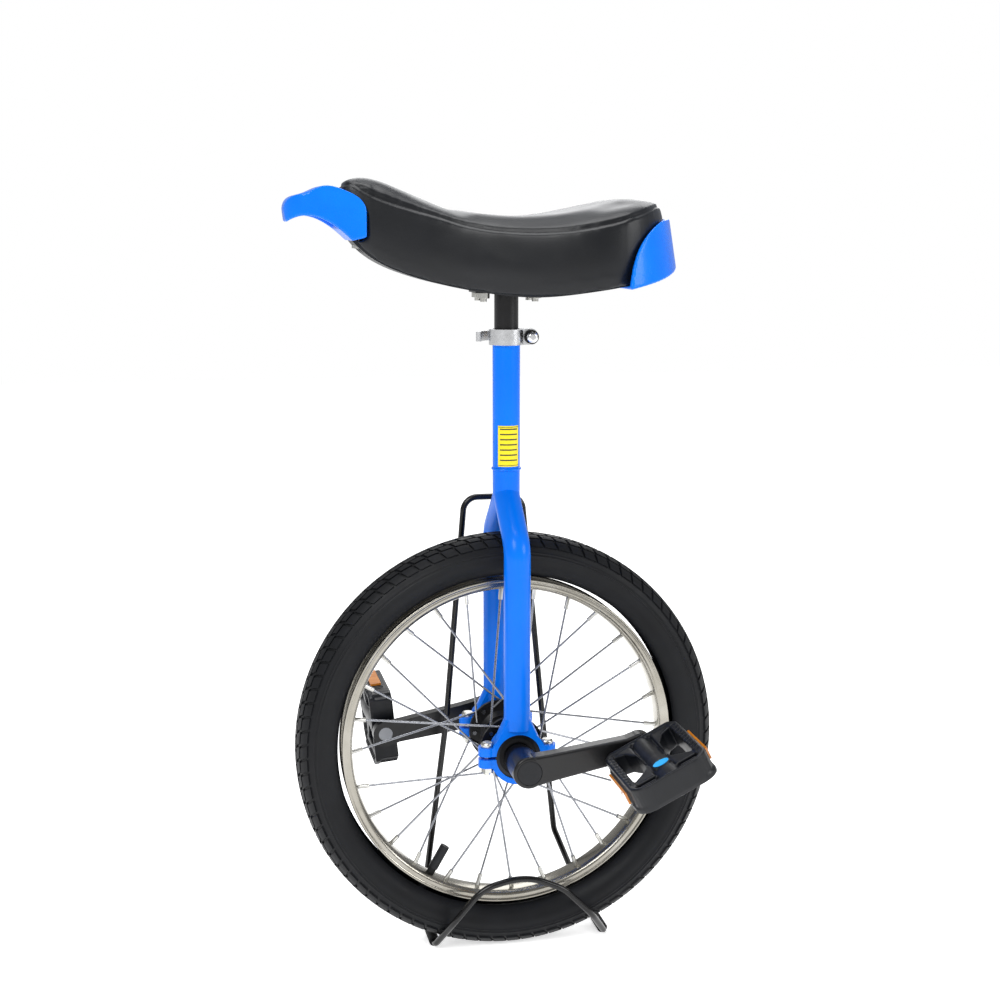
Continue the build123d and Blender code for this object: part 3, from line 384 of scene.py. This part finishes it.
pitch_length = 2 * math.pi * wheel_r / tread_pitches
flat = bmesh.new()
for side in (-1, 1):
    for start, stop, along, share in ((0.0006, 0.0066, 0.0, 0.84), (0.0078, 0.0138, 0.22, 0.84),
                                      (0.0150, tread_half_w, 0.05, 0.86)):
        block = bmesh.ops.create_grid(flat, x_segments=3, y_segments=3, size=0.5)["verts"]
        for vert in block:
            x = (vert.co.x * share + 0.5 + along) * pitch_length
            w = start + (vert.co.y + 0.5) * (stop - start)
            vert.co = (x + tread_slant * w, side * w, 0)
        faces = list({face for vert in block for face in vert.link_faces})
        raised = bmesh.ops.extrude_face_region(flat, geom=faces)["geom"]
        top = [item for item in raised if isinstance(item, bmesh.types.BMVert)]
        middle = sum((vert.co for vert in top), Vector()) / len(top)
        for vert in top:
            vert.co = middle + (vert.co - middle) * 0.93 + Vector((0, 0, tread_h))
flat_mesh = bpy.data.meshes.new("flat_tread")
flat.to_mesh(flat_mesh)
flat.free()
for k in range(tread_pitches):
    before = len(shape.verts)
    shape.from_mesh(flat_mesh)
    shape.verts.ensure_lookup_table()
    for vert in shape.verts[before:]:
        vert.co = tyre_wrap(vert.co.x + k * pitch_length, vert.co.y, vert.co.z)
bpy.data.meshes.remove(flat_mesh)
tyre = piece("tyre_with_tread", shape, "wheel", tyre_rubber, 35)
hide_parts("tyre")

# The inner tube is butyl rubber, hidden in the tyre, with its valve through the rim.
butyl = mottled("butyl rubber", ("#0B0B0D", "#121214"), (0.5, 0.7), gloss=0.25)
repaint(butyl, "inner_tube", "valve_stem")
# The valve's dust cap is moulded nylon.
cap_nylon = mottled("moulded nylon cap, black", ("#090B0F", "#0F1218"), (0.42, 0.6), gloss=0.35)
repaint(cap_nylon, "valve_cap")


# ------------------------------------------------------------------ rim
# Rolled steel strip, closed into a hoop and chrome plated: a curved side wall
# with a rolled lip at its outer edge, and a shallow well that holds the nipples.
def chrome_surface(tree, shader):
    # Bright chrome over rolled steel: mirror-like, with faint rolling lines round the hoop.
    shader.inputs["Metallic"].default_value = 1.0
    tone = add(tree, "ShaderNodeMix", {"data_type": "RGBA", 6: linear("#8C887E"), 7: linear("#A5A29A")},
               {0: wear(tree, 0.3, 30)})
    tree.links.new(tone.outputs[2], shader.inputs["Base Color"])
    rough = add(tree, "ShaderNodeMapRange", {3: 0.16, 4: 0.3}, {0: wear(tree, 0.4, 7)})
    tree.links.new(rough.outputs["Result"], shader.inputs["Roughness"])


rim_chrome = finish("chrome plated rolled steel", chrome_surface)
rim_half_w = rim_high.y
shape = bmesh.new()
right_outside = [
    (rim_half_w - 0.0008, rim_r - 0.0003), (rim_half_w, rim_r - 0.0014),
    (rim_half_w - 0.0005, rim_r - 0.0030),
    (rim_half_w - 0.0014, rim_r - 0.0038), (rim_half_w - 0.0006, rim_r - 0.0062),
    (rim_half_w - 0.0020, rim_r - 0.0092), (rim_half_w - 0.0052, rim_r - 0.0108),
    (0.0045, rim_r - 0.0110), (0.0020, rim_r - 0.0112),
]
right_inside = [
    (rim_half_w - 0.0022, rim_r - 0.0004), (rim_half_w - 0.0027, rim_r - 0.0020),
    (rim_half_w - 0.0030, rim_r - 0.0060), (rim_half_w - 0.0042, rim_r - 0.0078),
    (0.0062, rim_r - 0.0092), (0.0020, rim_r - 0.0094),
]
half = right_inside[::-1] + right_outside
outline = half + [(-y, r) for y, r in reversed(half)]
spun(shape, outline, 120)
rim = piece("rim_with_lips", shape, "wheel", rim_chrome, 60)
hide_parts("rim")
smoothing = rim.modifiers.new("rolled edges", "SUBSURF")
smoothing.levels = 2
smoothing.render_levels = 2

# A strip of rubber tape covers the nipples' heads in the well.
tape_rubber = mottled("rim tape rubber", ("#0C0C0E", "#141416"), (0.6, 0.8), gloss=0.25)
repaint(tape_rubber, "rim_tape")

# ------------------------------------------------------------------ saddle cushion
# Foam on a moulded base under a sewn vinyl cover. A crowned top panel is stitched
# to side panels, and their lower edge is drawn in under the base and stapled.
half_plan = [
    (0.157, 0.0), (0.152, 0.020), (0.128, 0.031), (0.090, 0.037), (0.050, 0.048), (0.010, 0.069),
    (-0.040, 0.093), (-0.084, 0.098), (-0.117, 0.080), (-0.137, 0.042), (-0.145, 0.0),
]
top_line = [
    (0.164, 0.722), (0.154, 0.727), (0.140, 0.730), (0.094, 0.716), (0.045, 0.696), (0.0, 0.690),
    (-0.044, 0.693), (-0.094, 0.704), (-0.124, 0.708), (-0.138, 0.706), (-0.150, 0.703),
]
under_line = [
    (0.164, 0.700), (0.152, 0.686), (0.128, 0.658), (0.089, 0.640), (0.033, 0.627),
    (-0.012, 0.623), (-0.060, 0.628), (-0.110, 0.638), (-0.152, 0.663), (-0.160, 0.668),
]
seam_drop = [
    (0.164, 0.003), (0.152, 0.004), (0.131, 0.012), (0.115, 0.014), (0.090, 0.013), (0.063, 0.009),
    (0.0, 0.008), (-0.053, 0.009), (-0.085, 0.010), (-0.113, 0.007), (-0.135, 0.002), (-0.160, 0.002),
]
crown_reach = 0.030
edge_reach = 0.020
top_pull = 0.0035
under_pull = 0.0055
foam_voxel = 0.0035
foam_shrink = 0.0012
pad_cap = 0.005
seam_inset = 0.004
seam_w = 0.0036
seam_depth = 0.0022


def curve_at(line, at):
    """A smooth curve through (x, value) points that run from high x to low x, read at one x."""
    k = 1
    while k < len(line) - 2 and line[k][0] > at:
        k += 1
    (x1, v1), (x2, v2) = line[k - 1], line[k]
    before = line[max(k - 2, 0)]
    after = line[min(k + 1, len(line) - 1)]
    t = min(max((at - x1) / (x2 - x1), 0.0), 1.0)
    m1 = (v2 - before[1]) / (x2 - before[0]) * (x2 - x1)
    m2 = (after[1] - v1) / (after[0] - x1) * (x2 - x1)
    return ((2 * t ** 3 - 3 * t ** 2 + 1) * v1 + (t ** 3 - 2 * t ** 2 + t) * m1
            + (3 * t ** 2 - 2 * t ** 3) * v2 + (t ** 3 - t ** 2) * m2)


def evened(shape, name, voxel):
    """Rebuilds a closed bmesh in even quads, its overlapping shells made one, and frees it."""
    mesh = bpy.data.meshes.new(name)
    shape.to_mesh(mesh)
    shape.free()
    made = bpy.data.objects.new(name, mesh)
    bpy.context.scene.collection.objects.link(made)
    remesh = made.modifiers.new("even quads", "REMESH")
    remesh.mode = "VOXEL"
    remesh.voxel_size = voxel
    bpy.context.view_layer.update()
    even = bpy.data.meshes.new_from_object(made.evaluated_get(bpy.context.evaluated_depsgraph_get()))
    bpy.data.objects.remove(made)
    bpy.data.meshes.remove(mesh)
    return even


def remeshed(node, name, voxel):
    """A copy of a CAD node's mesh in its place, merged and rebuilt in even quads."""
    shape = bmesh.new()
    shape.from_mesh(nodes[node].data)
    shape.transform(nodes[node].matrix_world)
    bmesh.ops.remove_doubles(shape, verts=shape.verts, dist=1e-6)
    return evened(shape, name, voxel)


outline = [Vector((x, y, 0)) for x, y in half_plan] + [Vector((x, -y, 0)) for x, y in half_plan[-2:0:-1]]
ring = []
for k, here in enumerate(outline):
    ahead = outline[(k + 1) % len(outline)]
    back = (ahead - outline[k - 1]) / 2
    on = (outline[(k + 2) % len(outline)] - here) / 2
    for step in range(24):
        t = step / 24
        ring.append((2 * t ** 3 - 3 * t ** 2 + 1) * here + (t ** 3 - 2 * t ** 2 + t) * back
                    + (3 * t ** 2 - 2 * t ** 3) * ahead + (t ** 3 - t ** 2) * on)
edge_tree = KDTree(len(ring))
for k, spot in enumerate(ring):
    edge_tree.insert(spot, k)
edge_tree.balance()


def inward_at(k):
    """The level direction from a point of the plan's outline in towards the saddle's spine."""
    way = ring[(k + 1) % len(ring)] - ring[k - 1]
    inward = Vector((way.y, -way.x, 0)).normalized()
    spine = Vector((min(max(ring[k].x, -0.08), 0.12), 0, 0))
    return -inward if inward.dot(spine - ring[k]) < 0 else inward


def sewn_shape(spot):
    """Moves a point of the plain block of foam to where the sewn cover draws it."""
    _, k, depth = edge_tree.find(Vector((spot.x, spot.y, 0)))
    top = curve_at(top_line, spot.x)
    under = curve_at(under_line, spot.x)
    high = min(max((spot.z - under) / (top - under), 0.0), 1.0)
    hug = max(1 - depth / crown_reach, 0.0) ** 2
    pull = (top_pull * high ** 4 + under_pull * (1 - high) ** 4) * max(1 - depth / edge_reach, 0.0)
    return spot + inward_at(k) * pull - Vector((0, 0, curve_at(seam_drop, spot.x) * hug * high))


def fixed_part(spot):
    """True where the cover is held: on the base, under the edge, at the grip and at the bumper."""
    under = curve_at(under_line, spot.x)
    return (spot.z < under + 0.012 or (spot.x > 0.126 and spot.z < 0.722)
            or (spot.x < -0.086 and spot.z < 0.694))


def inflate(cushion):
    """Blows the cover up over its foam with cloth pressure, no point further than the cap."""
    held = cushion.vertex_groups.new(name="held")
    held.add([vert.index for vert in cushion.data.vertices if fixed_part(vert.co)], 1.0, "REPLACE")
    cloth = cushion.modifiers.new("vinyl", "CLOTH")
    cloth.settings.use_pressure = True
    cloth.settings.uniform_pressure_force = 4.0
    cloth.settings.effector_weights.gravity = 0
    cloth.settings.vertex_group_mass = "held"
    cloth.settings.tension_stiffness = 30
    cloth.settings.compression_stiffness = 30
    cloth.settings.bending_stiffness = 2
    for number in range(1, 21):
        bpy.context.scene.frame_set(number)
    solved = cushion.evaluated_get(bpy.context.evaluated_depsgraph_get())
    moved = [vert.co.copy() for vert in solved.data.vertices]
    cushion.modifiers.remove(cloth)
    cushion.vertex_groups.clear()
    bpy.context.scene.frame_set(1)
    outward = [vert.normal.copy() for vert in cushion.data.vertices]
    for vert, there, way in zip(cushion.data.vertices, moved, outward):
        rise = (there - vert.co).dot(way)
        vert.co = vert.co + way * min(max(rise, 0.0), pad_cap)


def vinyl_surface(tree, shader):
    # Coated upholstery vinyl: satin black with a bluish sheen and a fine pressed leather grain.
    tone = add(tree, "ShaderNodeMix", {"data_type": "RGBA", 6: linear("#07090C"), 7: linear("#0C0E13")},
               {0: wear(tree, 0.3, 40)})
    tree.links.new(tone.outputs[2], shader.inputs["Base Color"])
    rough = add(tree, "ShaderNodeMapRange", {3: 0.34, 4: 0.46}, {0: wear(tree, 0.4, 22)})
    tree.links.new(rough.outputs["Result"], shader.inputs["Roughness"])
    shader.inputs["Specular IOR Level"].default_value = 0.32
    shader.inputs["Sheen Weight"].default_value = 0.06
    shader.inputs["Sheen Tint"].default_value = linear("#8FA4C8")
    place = add(tree, "ShaderNodeTexCoord")
    cells = add(tree, "ShaderNodeTexVoronoi", {"Scale": 1000 / 1.1}, {"Vector": place.outputs["Object"]})
    grain = add(tree, "ShaderNodeBump", {"Strength": 0.12, "Distance": 0.0002},
                {"Height": cells.outputs["Distance"]})
    tree.links.new(grain.outputs["Normal"], shader.inputs["Normal"])


black_vinyl = finish("grained upholstery vinyl, black", vinyl_surface)
cushion_mesh = remeshed("saddle_cushion", "saddle_cover", foam_voxel)
for vert in cushion_mesh.vertices:
    vert.co = vert.co - vert.normal * foam_shrink
for vert in cushion_mesh.vertices:
    vert.co = sewn_shape(vert.co)
cushion = bpy.data.objects.new("saddle_cover", cushion_mesh)
bpy.context.scene.collection.objects.link(cushion)
inflate(cushion)

# The top panel's seam is a narrow channel that runs all round, where the thread draws it in.
seam_path = []
for k, spot in enumerate(ring):
    z = curve_at(top_line, spot.x) - curve_at(seam_drop, spot.x)
    seam_path.append(spot + inward_at(k) * seam_inset + Vector((0, 0, z - 0.001)))
shape = bmesh.new()
shape.from_mesh(cushion.data)
bpy.data.objects.remove(cushion)
loose = [vert for vert in shape.verts if not fixed_part(vert.co)]
for _ in range(12):
    bmesh.ops.smooth_vert(shape, verts=loose, factor=0.5, use_axis_x=True, use_axis_y=True,
                          use_axis_z=True)
bmesh.ops.subdivide_edges(shape, edges=shape.edges, cuts=1, use_grid_fill=True, smooth=1.0)
seam_tree = KDTree(len(seam_path))
for k, spot in enumerate(seam_path):
    seam_tree.insert(spot, k)
seam_tree.balance()
shape.normal_update()
for vert in shape.verts:
    gap = seam_tree.find(vert.co)[2]
    if gap < seam_w:
        vert.co = vert.co - vert.normal * seam_depth * (1 - (gap / seam_w) ** 2)
cushion = piece("saddle_cover", shape, "seat", black_vinyl, 180)
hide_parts("saddle_cushion")


# ------------------------------------------------------------------ saddle grip and bumper
# The front grip and the rear bumper are glossy blue injection mouldings with
# rounded edges, each held to the saddle's base by two screws from below.
def moulded_surface(tree, shader):
    # Injection moulded gloss plastic: clean saturated blue, softly mottled, with a clear skin.
    tone = add(tree, "ShaderNodeMix", {"data_type": "RGBA", 6: linear("#0068E0"), 7: linear("#0274EC")},
               {0: wear(tree, 0.3, 30)})
    tree.links.new(tone.outputs[2], shader.inputs["Base Color"])
    rough = add(tree, "ShaderNodeMapRange", {3: 0.22, 4: 0.32}, {0: wear(tree, 0.4, 14)})
    tree.links.new(rough.outputs["Result"], shader.inputs["Roughness"])
    shader.inputs["Coat Weight"].default_value = 0.15
    shader.inputs["Specular IOR Level"].default_value = 0.15
    shader.inputs["Coat Roughness"].default_value = 0.12


moulded_blue = finish("injection moulded gloss plastic, blue", moulded_surface)
for node, name in (("saddle_handle", "saddle_grip_moulding"), ("saddle_bumper", "saddle_bumper_moulding")):
    even = remeshed(node, name, 0.0011)
    shape = bmesh.new()
    shape.from_mesh(even)
    bpy.data.meshes.remove(even)
    for _ in range(3):
        bmesh.ops.smooth_vert(shape, verts=shape.verts, factor=0.5, use_axis_x=True, use_axis_y=True,
                              use_axis_z=True)
    moulding = piece(name, shape, "seat", moulded_blue, 180)
    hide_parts(node)

# ------------------------------------------------------------------ pedals
# Platform pedals moulded in black nylon: a smooth end band, toothed side rails,
# two braces with raised bars, and a waisted barrel with a plain blue badge.
pedal_low, pedal_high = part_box("pedal_body_left")
pedal_in = pedal_low.y
pedal_out = pedal_high.y
pedal_half_l = 0.039
pedal_half_t = 0.0125
bore_r = 0.0097
barrel_r = 0.0120
tooth_pitch = 0.0068
reflector_half = 0.029
web_in = 0.0104
web_out = 0.0310
badge_inset = 0.0300
pedal_voxel = 0.0009


def prism(shape, outline, low, high):
    """A closed prism on an (x, y) outline from one height to another."""
    base = shape.faces.new([shape.verts.new((x, y, low)) for x, y in outline])
    raised = bmesh.ops.extrude_face_region(shape, geom=[base])["geom"]
    top = [item for item in raised if isinstance(item, bmesh.types.BMVert)]
    bmesh.ops.translate(shape, verts=top, vec=(0, 0, high - low))
    return top


def slab(shape, x0, x1, y0, y1, z0, z1):
    prism(shape, [(x0, y0), (x1, y0), (x1, y1), (x0, y1)], z0, z1)


def oval(half_x, half_y, count):
    """Points of an oval in plan, centred where the badge sits on the barrel."""
    turns = [2 * math.pi * k / count for k in range(count)]
    return [(half_x * math.cos(turn), pedal_out - badge_inset + half_y * math.sin(turn)) for turn in turns]


def pedal_frame(half, out):
    """Plan of the pedal's outside, with well rounded outer corners and clipped inner ones."""
    outline = [(-half + 0.006, pedal_in), (half - 0.006, pedal_in), (half, pedal_in + 0.010)]
    corner = 0.016
    for k in range(7):
        turn = math.radians(15 * k)
        outline.append((half - corner + corner * math.cos(turn), out - 0.014 + 0.014 * math.sin(turn)))
    outline += [(-x, y) for x, y in reversed(outline[3:])] + [(-half, pedal_in + 0.010)]
    return outline


def hollow_frame(shape, half, out, wall, low, high):
    """A band that follows the pedal's plan, with a wall of the same thickness all round."""
    outside = pedal_frame(half, out)
    middle = Vector((0, (pedal_in + out) / 2))
    reach = Vector((half, (out - pedal_in) / 2))
    inside = []
    for x, y in outside:
        inside.append((x * (1 - wall / reach.x), middle.y + (y - middle.y) * (1 - wall / reach.y)))
    count = len(outside)
    loops = []
    for line, z in ((outside, low), (outside, high), (inside, high), (inside, low)):
        loops.append([shape.verts.new((x, y, z)) for x, y in line])
    for a in range(4):
        one = loops[a]
        two = loops[(a + 1) % 4]
        for k in range(count):
            nxt = (k + 1) % count
            shape.faces.new((one[k], one[nxt], two[nxt], two[k]))


def pedal_moulding():
    """The left pedal's frame, lying level round a spindle at the origin."""
    half_l = pedal_half_l
    half_t = pedal_half_t
    middle_y = (pedal_in + pedal_out) / 2
    shape = bmesh.new()
    hollow_frame(shape, half_l - 0.0022, pedal_out, 0.0042, -half_t + 0.004, half_t - 0.0008)
    hollow_frame(shape, half_l - 0.0026, pedal_out - 0.0003, 0.0022, 0.0, half_t)
    hollow_frame(shape, half_l, pedal_out - 0.0005, 0.0045, -half_t + 0.0012, -half_t + 0.0060)
    for sign in (-1, 1):
        rail_in = sign * (half_l - 0.0100)
        x0, x1 = sorted((rail_in, sign * (half_l - 0.0003)))
        slab(shape, x0, x1, middle_y - reflector_half, middle_y + reflector_half, -0.0075, 0.0070)
        x0, x1 = sorted((rail_in, sign * (half_l - 0.0030)))
        slab(shape, x0, x1, pedal_in + 0.004, pedal_out - 0.013, -half_t + 0.003, half_t - 0.0014)
        for k in range(11):
            y = pedal_in + 0.011 + k * tooth_pitch
            slab(shape, x0 + 0.0008, x1 - 0.0010, y, y + 0.0030, half_t - 0.003, half_t)
            t0, t1 = sorted((sign * (half_l - 0.005), sign * half_l))
            slab(shape, t0, t1, y, y + 0.0040, -half_t, -half_t + 0.004)
        brace = [(web_in, pedal_in + 0.052), (0.0125, pedal_in + 0.063), (web_out, pedal_out - 0.0240),
                 (web_out, pedal_out - 0.0190), (web_in, pedal_out - 0.0190)]
        prism(shape, [(sign * x, y) for x, y in brace], -half_t + 0.0035, half_t - 0.0030)
        gusset = [(web_in, pedal_in + 0.001), (web_out, pedal_in + 0.001), (web_out, pedal_in + 0.0085),
                  (0.0190, pedal_in + 0.0150), (0.0122, pedal_in + 0.0300), (web_in, pedal_in + 0.0500)]
        prism(shape, [(sign * x, y) for x, y in gusset], -half_t + 0.0035, half_t - 0.0018)
        x0, x1 = sorted((sign * web_in, sign * 0.0340))
        slab(shape, x0, x1, pedal_out - 0.0210, pedal_out - 0.0050, -0.0050, 0.0048)
        x0, x1 = sorted((sign * 0.0125, sign * 0.0270))
        slab(shape, x0, x1, pedal_out - 0.0135, pedal_out - 0.0105, 0.0, half_t - 0.0030)
    slab(shape, -web_out, web_out, pedal_out - 0.0062, pedal_out - 0.0030, -half_t + 0.003, half_t - 0.0030)
    prism(shape, oval(0.0088, 0.0072, 24), bore_r + 0.0004, half_t - 0.0004)
    barrel = [(pedal_in, barrel_r), (pedal_in + 0.020, barrel_r - 0.0004),
              (pedal_in + 0.048, barrel_r - 0.0010), (pedal_out - 0.034, barrel_r - 0.0002),
              (pedal_out - 0.0030, barrel_r), (pedal_out - 0.0030, 0.0),
              (pedal_out - 0.0070, 0.0), (pedal_out - 0.0070, bore_r), (pedal_in, bore_r)]
    ring = [shape.verts.new((0, y, r)) for y, r in barrel]
    edges = [shape.edges.new(pair) for pair in zip(ring, ring[1:] + ring[:1])]
    bmesh.ops.spin(shape, geom=ring + edges, cent=(0, 0, 0), axis=(0, 1, 0), angle=2 * math.pi,
                   steps=48, use_merge=True)
    bmesh.ops.remove_doubles(shape, verts=shape.verts, dist=1e-6)
    bmesh.ops.recalc_face_normals(shape, faces=shape.faces)
    return shape


def pedal_side(side):
    """Turns and moves the left pedal made at the origin to one of the two spindles."""
    low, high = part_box("pedal_spindle_" + side)
    middle = Matrix.Translation(((low.x + high.x) / 2, 0, (low.z + high.z) / 2))
    if side == "left":
        return middle @ Matrix.Rotation(math.radians(26.8), 4, "Y")
    return middle @ Matrix.Rotation(math.radians(-84.0), 4, "Y") @ Matrix.Scale(-1, 4, (0, 1, 0))


def nylon_surface(tree, shader):
    # Moulded nylon: deep blue-black, satin, with a very fine spark-eroded texture.
    tone = add(tree, "ShaderNodeMix", {"data_type": "RGBA", 6: linear("#07090D"), 7: linear("#0B0E15")},
               {0: wear(tree, 0.3, 25)})
    tree.links.new(tone.outputs[2], shader.inputs["Base Color"])
    rough = add(tree, "ShaderNodeMapRange", {3: 0.34, 4: 0.5}, {0: wear(tree, 0.4, 8)})
    tree.links.new(rough.outputs["Result"], shader.inputs["Roughness"])
    shader.inputs["Specular IOR Level"].default_value = 0.35
    grain = add(tree, "ShaderNodeBump", {"Strength": 0.1, "Distance": 0.0002},
                {"Height": wear(tree, 0.4, 0.8)})
    tree.links.new(grain.outputs["Normal"], shader.inputs["Normal"])


def badge_surface(tree, shader):
    # Pad-printed badge: flat bright blue under a clear lacquer, a little thin at random.
    tone = add(tree, "ShaderNodeMix", {"data_type": "RGBA", 6: linear("#0FA2EE"), 7: linear("#16B4FA")},
               {0: wear(tree, 0.3, 4)})
    tree.links.new(tone.outputs[2], shader.inputs["Base Color"])
    shader.inputs["Roughness"].default_value = 0.3


moulded_nylon = finish("moulded nylon, black", nylon_surface)
badge_print = finish("printed badge, light blue", badge_surface)
pedal_block = pedal_moulding()
pedal_even = evened(pedal_block, "pedal_even", pedal_voxel)
for side in ("left", "right"):
    shape = bmesh.new()
    shape.from_mesh(pedal_even)
    for _ in range(2):
        bmesh.ops.smooth_vert(shape, verts=shape.verts, factor=0.5, use_axis_x=True, use_axis_y=True,
                              use_axis_z=True)
    shape.transform(pedal_side(side))
    moulding = piece("pedal_moulding_" + side, shape, "pedal_" + side, moulded_nylon, 180)
    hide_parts("pedal_body_" + side)
    shape = bmesh.new()
    prism(shape, oval(0.0074, 0.0056, 36), pedal_half_t - 0.0012, pedal_half_t - 0.0002)
    shape.transform(pedal_side(side))
    piece("pedal_badge_" + side, shape, "pedal_" + side, badge_print, 40)
bpy.data.meshes.remove(pedal_even)

# The spindles and their lock nuts are turned steel, and run in nylon bushes.
turned_steel = mottled("turned spindle steel", ("#6E7074", "#85878B"), (0.25, 0.4), metal=1.0)
repaint(turned_steel, "pedal_spindle_left", "pedal_spindle_right")
repaint(zinc_plate, "pedal_nut_left", "pedal_nut_right")
repaint(cap_nylon, "pedal_bushes_left", "pedal_bushes_right")
# Amber acrylic glows orange where light passes through its face.
amber_lens = mottled("amber reflector lens", ("#B8691A", "#D88A2C"), (0.12, 0.2), coat=0.5, grain_mm=1.5)
repaint(amber_lens, "pedal_reflectors_left", "pedal_reflectors_right")


# ------------------------------------------------------------------ cranks
# Forged steel cranks under satin black enamel, bolted to the axle's square ends,
# each bolt hidden by a press-in nylon cap.
repaint(black_enamel, "crank_left", "crank_right")
repaint(zinc_plate, "crank_bolts")
repaint(cap_nylon, "crank_caps")


# ------------------------------------------------------------------ seat clamp
# A cast alloy collar drawn tight by a quick-release lever on a steel skewer, with
# a brass washer under its cam and a rubber grip ring round its nut.
# Tumbled cast alloy is bright and silvery, with a slightly soft reflection.
cast_alloy = mottled("polished cast alloy", ("#CFD0D2", "#E3E4E6"), (0.2, 0.34), metal=1.0)
repaint(cast_alloy, "seat_collar", "qr_lever", "qr_nut")
# Plain brass, a warm yellow edge between the lever and the collar.
brass = mottled("plain brass", ("#B08D4A", "#C7A560"), (0.3, 0.45), metal=1.0)
repaint(brass, "qr_cam_washer")
repaint(zinc_plate, "qr_skewer", "qr_cam_pin")
repaint(seal_rubber, "qr_nut_ring")


# ------------------------------------------------------------------ seat post and base
# A steel post in satin black enamel with a welded top plate. Four plated bolts
# hold it under the saddle's moulded nylon base, and screws hold the trim.
repaint(black_enamel, "seat_post", "seat_plate")
repaint(zinc_plate, "saddle_bolts", "saddle_nuts", "trim_screws")
repaint(cap_nylon, "saddle_base")


# ------------------------------------------------------------------ stand
# Bent steel wire, dipped in gloss black enamel, with rubber sleeves pushed over
# the two floor rods.
# Dipped enamel is thick and glossy, a clean line of light along each wire.
dipped_enamel = mottled("dipped gloss enamel, black", ("#060607", "#0A0A0B"), (0.2, 0.3),
                        coat=0.1, gloss=0.35)
repaint(dipped_enamel, "stand_loop", "stand_arch")
repaint(seal_rubber, "stand_feet")
